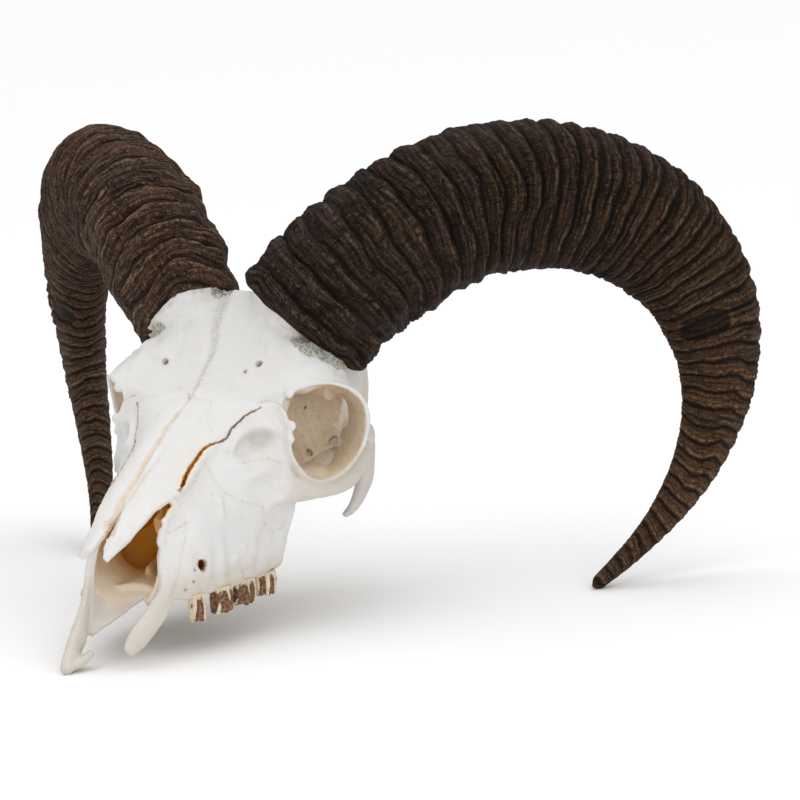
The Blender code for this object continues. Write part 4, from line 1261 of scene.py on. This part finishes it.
for side, word, seed in ((1, "left", 0), (-1, "right", 1)):
    sheath = make_sheath("sheath_" + word, side, seed)
    sheath.data.shade_smooth()
    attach(sheath, "root")
    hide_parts("horn_" + word)
    print(sheath.name, "points:", len(sheath.data.vertices))

# %% [markdown]
# ## Teeth
#
# A sheep's cheek tooth is a tall column with upright ribs of enamel. Dark tartar fills the flutes between
# them, and its worn end is uneven. Each tooth starts from a copy of its solid in the frame, which is melted
# into an even skin. The ribs are then raised on it and the end is notched.

# %% Shape the teeth
TOOTH_VOXEL = 0.30 * MM
TOOTH_SMOOTHING = 4
RIB_PITCH = 4.4
TOOTH_WEAR = 0.12             # share of the height that is worn off beyond the solid's
teeth = []
for number, name in enumerate(sorted(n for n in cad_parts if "molar" in n)):
    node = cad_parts[name]
    bpy.ops.object.select_all(action="DESELECT")
    tooth = bpy.data.objects.new("tooth_" + name, node.data.copy())
    bpy.context.scene.collection.objects.link(tooth)
    where = np.array([tuple(node.matrix_world @ v.co) for v in node.data.vertices])
    write_points(tooth.data, where)
    tooth.data.materials.clear()
    mend(tooth, merge=1e-6)
    melt(tooth, TOOTH_VOXEL, TOOTH_SMOOTHING)
    points = to_skull(read_points(tooth.data))
    normals = normals_of(tooth.data)
    low, high = points.min(axis=0), points.max(axis=0)
    middle = (low + high) / 2
    half = (high - low) / 2
    # position along the row, in mm, decides where the ribs stand
    along = (points - middle) @ np.array((0.25 * np.sign(middle[0]), 0.97, 0))
    upright = 1 - np.abs(normals[:, 2])
    ribs = (np.cos(2 * math.pi * (along / RIB_PITCH + 0.23 * number))
            + 0.8 * noise(points / (1.7, 1.7, 5.0), 50 + number))
    rib = rise(ribs, 0.45, 0.95) * rise(upright, 0.3, 0.7)
    height = points[:, 2] - low[2]
    lift = 0.42 * rib - 0.22 * rise(upright, 0.3, 0.7) * (1 - rib) + 0.12 * noise(points / 0.9, 60 + number)
    points = points + normals * lift[:, None] * rise(upright, 0.1, 0.5)[:, None]
    notches = np.stack([along / 1.5, points[:, 0] / 2.2, np.full(len(points), number)], axis=1)
    jag = 0.9 + 0.8 * noise(notches, 70)
    points[:, 2] += np.clip(jag, 0, 2.2) * (1 - rise(height, 0.0, 3.2)) * (1 - 0.6 * rib)
    points[:, 2] = high[2] - (high[2] - points[:, 2]) * (1 - TOOTH_WEAR)
    write_points(tooth.data, place(points))
    keep(tooth.data, "rib", rib)
    keep(tooth.data, "crown", np.clip(height / max(half[2] * 2, 1e-6), 0, 1))
    tooth.data.shade_smooth()
    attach(tooth, "root")
    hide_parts(name)
    teeth.append(tooth)
print("teeth:", {tooth.name: len(tooth.data.vertices) for tooth in teeth})

# %% [markdown]
# ## A small kit for finishes
#
# A finish is a graph of nodes. `Wire` stands for one output, so that sums and products of outputs can be
# written as arithmetic. `Finish` makes every other node with one method.

# %% Wires and finishes
class Wire:
    """One output of a shader node, with arithmetic that adds Math nodes."""

    def __init__(self, finish, socket):
        self.finish = finish
        self.socket = socket

    def math(self, operation, *terms):
        return self.finish.node("ShaderNodeMath", {"operation": operation}, terms)

    def __add__(self, other):
        return self.math("ADD", self, other)

    def __sub__(self, other):
        return self.math("SUBTRACT", self, other)

    def __mul__(self, other):
        return self.math("MULTIPLY", self, other)

    def __rsub__(self, other):
        return self.math("SUBTRACT", other, self)

    __radd__ = __add__
    __rmul__ = __mul__

    def size(self):
        return self.math("ABSOLUTE", self)

    def wave(self):
        return self.math("SINE", self)

    def top(self, other):
        return self.math("MAXIMUM", self, other)

    def bottom(self, other):
        return self.math("MINIMUM", self, other)

    def step(self, low, high):
        """0 below low, 1 above high, and smooth between them."""
        return self.finish.node("ShaderNodeMapRange", {"interpolation_type": "SMOOTHSTEP"},
                                {"Value": self, "From Min": low, "From Max": high})


class Finish:
    """A material put together node by node."""

    def __init__(self, name, **constants):
        self.material = bpy.data.materials.new(name)
        self.material.use_nodes = True
        self.tree = self.material.node_tree
        self.shader = self.tree.nodes["Principled BSDF"]
        for socket, value in constants.items():
            self.shader.inputs[socket.replace("_", " ")].default_value = value

    def node(self, kind, settings=None, inputs=None, output=0):
        made = self.tree.nodes.new(kind)
        for key, value in (settings or {}).items():
            setattr(made, key, value)
        pairs = inputs.items() if isinstance(inputs, dict) else enumerate(inputs or ())
        for key, value in pairs:
            if isinstance(value, Wire):
                self.tree.links.new(value.socket, made.inputs[key])
            else:
                made.inputs[key].default_value = value
        return Wire(self, made.outputs[output])

    def field(self, name, output="Fac"):
        return self.node("ShaderNodeAttribute", {"attribute_name": name}, output=output)

    def millimetres(self):
        """The object's own coordinates in millimetres."""
        own = self.node("ShaderNodeTexCoord", output="Object")
        return self.scaled(own, (1000, 1000, 1000))

    def scaled(self, vector, scale):
        return self.node("ShaderNodeVectorMath", {"operation": "MULTIPLY"}, [vector, scale])

    def noise(self, vector, scale=1.0, detail=3.0, roughness=0.55, distortion=0.0):
        return self.node("ShaderNodeTexNoise", None, {"Vector": vector, "Scale": scale, "Detail": detail,
                                                      "Roughness": roughness, "Distortion": distortion})

    def mix(self, share, first, second):
        ends = [end if isinstance(end, Wire) else (*end, 1) for end in (first, second)]
        return self.node("ShaderNodeMix", {"data_type": "RGBA"}, {0: share, 6: ends[0], 7: ends[1]}, 2)

    def coats(self, colour, *layers):
        """Coats laid over a colour, one after the other: each is a mask and the colour that it lays on."""
        for mask, tint in layers:
            colour = self.mix(mask, colour, tint)
        return colour

    def bump(self, height, distance, strength):
        return self.node("ShaderNodeBump", None, {"Height": height, "Distance": distance, "Strength": strength})

    def into(self, socket, wire):
        self.tree.links.new(wire.socket, self.shader.inputs[socket])

    def wear(self, *objects):
        for obj in objects:
            obj.data.materials.clear()
            obj.data.materials.append(self.material)


print("a wire can be added, taken away and multiplied, and has:",
      sorted(word for word in vars(Wire) if not word.startswith("__")))

# %% [markdown]
# ## Bone finish
#
# Bleached bone is chalk white with faint warm clouds and a dull sheen. The finish is laid on in coats, each
# with a mask that says where it covers. Hollows are cream, partly as stain and partly as painted shade, and
# creases get painted shade. The roof of each eye socket is darkened towards its top by painted shade under
# the rim and by blotches of stain. The inside of the nose is amber, the crack and the holes are painted dark
# brown, and the seams are thin brown threads that wander from side to side, with painted shade in the
# troughs of the midline seam's ripple. The collar under each horn was never cleaned as well as the rest. It
# is grey-green and rough.

# %% Mix the bone finish
bone_finish = Finish("bone_finish", Roughness=0.5, IOR=1.45)
where = bone_finish.millimetres()
cloud = bone_finish.noise(where, 0.06, 4, 0.6)
grain = bone_finish.noise(where, 0.9, 4, 0.6)
streak = bone_finish.noise(bone_finish.scaled(where, (0.9, 0.25, 0.9)), 0.35, 4, 0.65)
hollow_stain_and_shade = bone_finish.field("hollow")
warm_wire = bone_finish.field("warm")
painted_crease_shade = bone_finish.field("painted_crease_shade")
beige = bone_finish.field("beige")
amber = bone_finish.field("amber")
groove_wire = bone_finish.field("groove") * (0.35 + 0.5 * streak.step(0.3, 0.7))
# the crack and the insides of the holes, painted dark brown
crack_and_hole_brown_wire = bone_finish.field("crack_and_hole_brown").step(0.25, 0.9)
height_wire = bone_finish.node("ShaderNodeSeparateXYZ", None, [where], 2)
stain = bone_finish.noise(where, 0.42, 4, 0.7)
# painted shade under the rim: the socket darkens towards its top, with blotches of stain as well
roof_shade_and_stain = beige * (height_wire.step(74, 97) * 0.55 + stain.step(0.46, 0.72) * 0.40)
colour = bone_finish.mix(cloud.step(0.35, 0.75), (0.75, 0.747, 0.742), (0.73, 0.71, 0.67))
colour = bone_finish.coats(
    colour,
    (streak.step(0.55, 0.8) * 0.45, (0.76, 0.71, 0.63)),
    # painted shade in creases, from the short count
    (painted_crease_shade.step(0.04, 0.45) * 0.55, (0.56, 0.50, 0.425)),
    ((warm_wire * (0.4 + 1.2 * cloud)).step(0.35, 1.0) * 0.65, (0.60, 0.53, 0.44)),
    # cream in hollows: partly a stain of old fat, partly painted shade
    (hollow_stain_and_shade.step(0.22, 0.75) * 0.75, (0.68, 0.57, 0.42)),
    (beige * (0.45 + 0.5 * cloud + 0.35 * streak), (0.70, 0.575, 0.415)),
    (roof_shade_and_stain, (0.40, 0.275, 0.16)),
    (amber.step(0.0, 0.15) * 0.9, (0.90, 0.79, 0.64)),
    (amber.step(0.20, 0.55) * 0.9, (0.78, 0.56, 0.30)),
    (amber.step(0.45, 0.90), (0.72, 0.31, 0.018)),
    (groove_wire, (0.66, 0.50, 0.33)),
    (crack_and_hole_brown_wire * 0.92, (0.30, 0.13, 0.03)))

across_wire = bone_finish.field("seam_across")
along_wire = bone_finish.field("seam_along")
seam_wire = bone_finish.field("seam_brown").bottom(1.0)
flat_line = bone_finish.node("ShaderNodeCombineXYZ", None, [along_wire, 0.0, 0.0])
sway = bone_finish.noise(flat_line, 0.75, 3, 0.7) - 0.5
swing = bone_finish.noise(where, 0.7, 2, 0.6) - 0.5
offset = across_wire + bone_finish.field("seam_wiggle") * (sway * 3.2 + swing * 1.6)
broken = bone_finish.noise(where, 0.55, 3, 0.6).step(0.44, 0.62)
thread = (1.0 - offset.size().step(0.05, 0.42)) * seam_wire
dots = bone_finish.node("ShaderNodeTexVoronoi", {"feature": "F1"}, {"Vector": where, "Scale": 0.75})
dot = (1.0 - offset.size().step(0.4, 3.0)) * seam_wire * (1.0 - dots.step(0.14, 0.34)) * broken
squiggle_wire = bone_finish.field("squiggle")
ripple = (along_wire * 3.6 + 7.0 * sway + 9.0 * swing).wave()
pores = bone_finish.node("ShaderNodeTexVoronoi", {"feature": "F1"}, {"Vector": where, "Scale": 0.42})
pore = (1.0 - pores.step(0.05, 0.12)) * bone_finish.noise(where, 0.11, 2).step(0.55, 0.68)
collar_wire = bone_finish.field("collar")
lichen = bone_finish.mix(grain.step(0.38, 0.60), (0.24, 0.235, 0.19), (0.60, 0.60, 0.54))
colour = bone_finish.coats(
    colour,
    (thread * (0.06 + 0.8 * broken), (0.50, 0.35, 0.20)),
    (dot * 0.9, (0.50, 0.33, 0.18)),
    # painted shade in the troughs of the midline seam's ripple
    (squiggle_wire * (0.0 - ripple).step(0.1, 0.9) * 0.35, (0.66, 0.62, 0.56)),
    (pore * 0.6, (0.42, 0.29, 0.17)),
    ((collar_wire * (0.6 + cloud)).step(0.35, 0.75), lichen))
bone_finish.into("Base Color", colour)
bone_finish.into("Roughness", 0.46 + 0.16 * grain + 0.2 * collar_wire)
fine = bone_finish.noise(where, 1.7, 4, 0.6)
relief_wire = (0.12 * fine + 0.28 * grain + 0.30 * collar_wire * fine - 0.30 * thread - 0.4 * pore - 0.3 * dot
               + 0.25 * streak + 0.30 * squiggle_wire * ripple)
bone_finish.into("Normal", bone_finish.bump(relief_wire, 1.0 * MM, 0.75))
bone_finish.wear(bone)
print("bone finish nodes:", len(bone_finish.tree.nodes))

# %% [markdown]
# ## Horn finish
#
# Horn is dark brown keratin. Dirt and painted shade make the grooves nearly black, wear and painted
# highlights leave the edges of the rings pale, and fine fibres run across the rings. All of it follows the same
# map of the horn as the relief. The right sheath and the parts towards the tips are painted lighter, partly as
# painted light.

# %% Mix the horn finish
horn_finish = Finish("horn_finish", IOR=1.4)
horn_finish.shader.inputs["Specular IOR Level"].default_value = 0.16
horn_map = horn_finish.field("horn_map", "Vector")
ring_part = horn_finish.field("ring_part")
ring_profile = horn_finish.field("ring_profile")
wrinkle_wire = horn_finish.field("wrinkle")
share_wire = horn_finish.field("horn_share")
patches = horn_finish.noise(horn_finish.scaled(horn_map, (0.05, 0.05, 0.03)), 1.0, 4, 0.6)
blotch = horn_finish.noise(horn_finish.scaled(horn_map, (0.16, 0.16, 0.20)), 1.0, 4, 0.65)
hoops = horn_finish.noise(horn_finish.scaled(horn_map, (0.05, 0.05, 0.85)), 1.0, 4, 0.65, 0.3)
hoops_fine = horn_finish.noise(horn_finish.scaled(horn_map, (0.12, 0.12, 2.4)), 1.0, 3, 0.62, 0.25)
fibres = horn_finish.noise(horn_finish.scaled(horn_map, (1.3, 1.3, 0.22)), 1.0, 4, 0.65, 0.2)
specks = horn_finish.noise(horn_finish.scaled(horn_map, (1.0, 1.0, 1.5)), 1.0, 3, 0.7)
mottle = horn_finish.noise(horn_finish.scaled(horn_map, (0.42, 0.42, 0.55)), 1.0, 4, 0.7)
# pale ring lips and wrinkle crests: partly wear, partly painted highlight
worn_lip_and_highlight = ring_part.step(0.66, 0.76) * (1.0 - ring_part.step(0.79, 0.88)) * mottle.step(0.40, 0.58)
worn_edge_and_highlight = wrinkle_wire.step(0.86, 0.99) * specks.step(0.42, 0.60) * mottle.step(0.40, 0.60)
# dark grooves: partly dirt, partly painted shade
groove_dirt_and_shade = (1.0 - ring_profile.step(0.10, 0.60)).top((1.0 - wrinkle_wire.step(0.05, 0.50)) * 0.65)
scar_wire = horn_finish.field("scar")
scar_rim = scar_wire.step(0.02, 0.30) * (1.0 - scar_wire.step(0.35, 0.75))
scar_rim = scar_rim * specks.step(0.42, 0.60) * mottle.step(0.42, 0.56)
colour = horn_finish.mix(blotch.step(0.38, 0.62), (0.011, 0.0065, 0.0042), (0.034, 0.0175, 0.0095))
# browns first, lighter towards the tip partly as painted light, then pale edges that are partly wear and
# partly painted highlight, then dirt with painted shade in the grooves, and the scar
colour = horn_finish.coats(
    colour,
    (share_wire.step(0.40, 0.85) * 0.8, (0.085, 0.052, 0.031)),
    (patches.step(0.52, 0.70) * 0.5, (0.060, 0.033, 0.018)),
    (hoops.step(0.50, 0.62) * 0.75, (0.088, 0.055, 0.034)),
    (hoops_fine.step(0.52, 0.64) * 0.55, (0.125, 0.080, 0.050)),
    (fibres.step(0.54, 0.66) * 0.55, (0.145, 0.090, 0.054)),
    (mottle.step(0.54, 0.66) * 0.55, (0.078, 0.044, 0.026)),
    (worn_lip_and_highlight * hoops_fine.step(0.36, 0.58) * 0.75, (0.26, 0.185, 0.125)),
    (worn_edge_and_highlight * 0.7, (0.24, 0.165, 0.108)),
    (specks.step(0.60, 0.68) * 0.7, (0.30, 0.21, 0.145)),
    ((1.0 - mottle.step(0.36, 0.46)) * 0.6, (0.005, 0.003, 0.002)),
    (groove_dirt_and_shade * 0.9, (0.0032, 0.002, 0.0014)),
    ((1.0 - hoops.step(0.36, 0.47)) * 0.75, (0.0035, 0.0022, 0.0016)),
    ((1.0 - fibres.step(0.34, 0.46)) * 0.6, (0.004, 0.0025, 0.0018)),
    (scar_wire.step(0.55, 0.95) * 0.7, (0.008, 0.006, 0.005)),
    (scar_rim * 0.7, (0.16, 0.105, 0.066)))
# the left sheath is painted darker, most of all near its base, and the right one lighter: partly painted light
horn_finish.into("Base Color", horn_finish.scaled(colour, horn_finish.field("tone_and_light", "Vector")))
horn_finish.into("Roughness", 0.52 + 0.25 * specks)
height = 0.50 * hoops + 0.45 * hoops_fine + 0.45 * fibres + 0.45 * specks + 0.40 * mottle
horn_finish.into("Normal", horn_finish.bump(height, 2.0 * MM, 1.0))
horn_finish.wear(*(bpy.data.objects["sheath_" + word] for word in ("left", "right")))
print("horn finish nodes:", len(horn_finish.tree.nodes))

# %% [markdown]
# ## Tooth and floor finishes
#
# The ribs of the teeth are ivory, and the flutes between them hold glossy dark-brown tartar. The floor is
# matt white paper with a hardly visible cloudiness.

# %% Mix the tooth and floor finishes
tooth_finish = Finish("tooth_finish", IOR=1.5)
where = tooth_finish.millimetres()
rib_wire = tooth_finish.field("rib")
crown_wire = tooth_finish.field("crown")
blot = tooth_finish.noise(where, 0.8, 4, 0.6)
tartar = tooth_finish.mix(blot.step(0.4, 0.65), (0.075, 0.030, 0.012), (0.30, 0.14, 0.052))
ivory = tooth_finish.mix(blot.step(0.4, 0.7), (0.74, 0.64, 0.49), (0.62, 0.46, 0.28))
clean = (rib_wire + (blot - 0.5) * 1.2 + crown_wire.step(0.60, 1.0) * 0.9).step(0.48, 0.80)
tooth_finish.into("Base Color", tooth_finish.mix(clean, tartar, ivory))
tooth_finish.into("Roughness", 0.28 + 0.3 * blot)
tooth_finish.into("Normal", tooth_finish.bump(blot + 0.5 * rib_wire, 0.4 * MM, 0.8))
tooth_finish.wear(*teeth)

floor_finish = Finish("floor_finish", Roughness=0.85)
paper = floor_finish.noise(floor_finish.millimetres(), 0.004, 3)
floor_finish.into("Base Color", floor_finish.mix(paper, (0.965, 0.965, 0.965), (0.955, 0.957, 0.96)))
floor_finish.wear(floor)
print("finishes:", [m.name for m in bpy.data.materials if m.users])
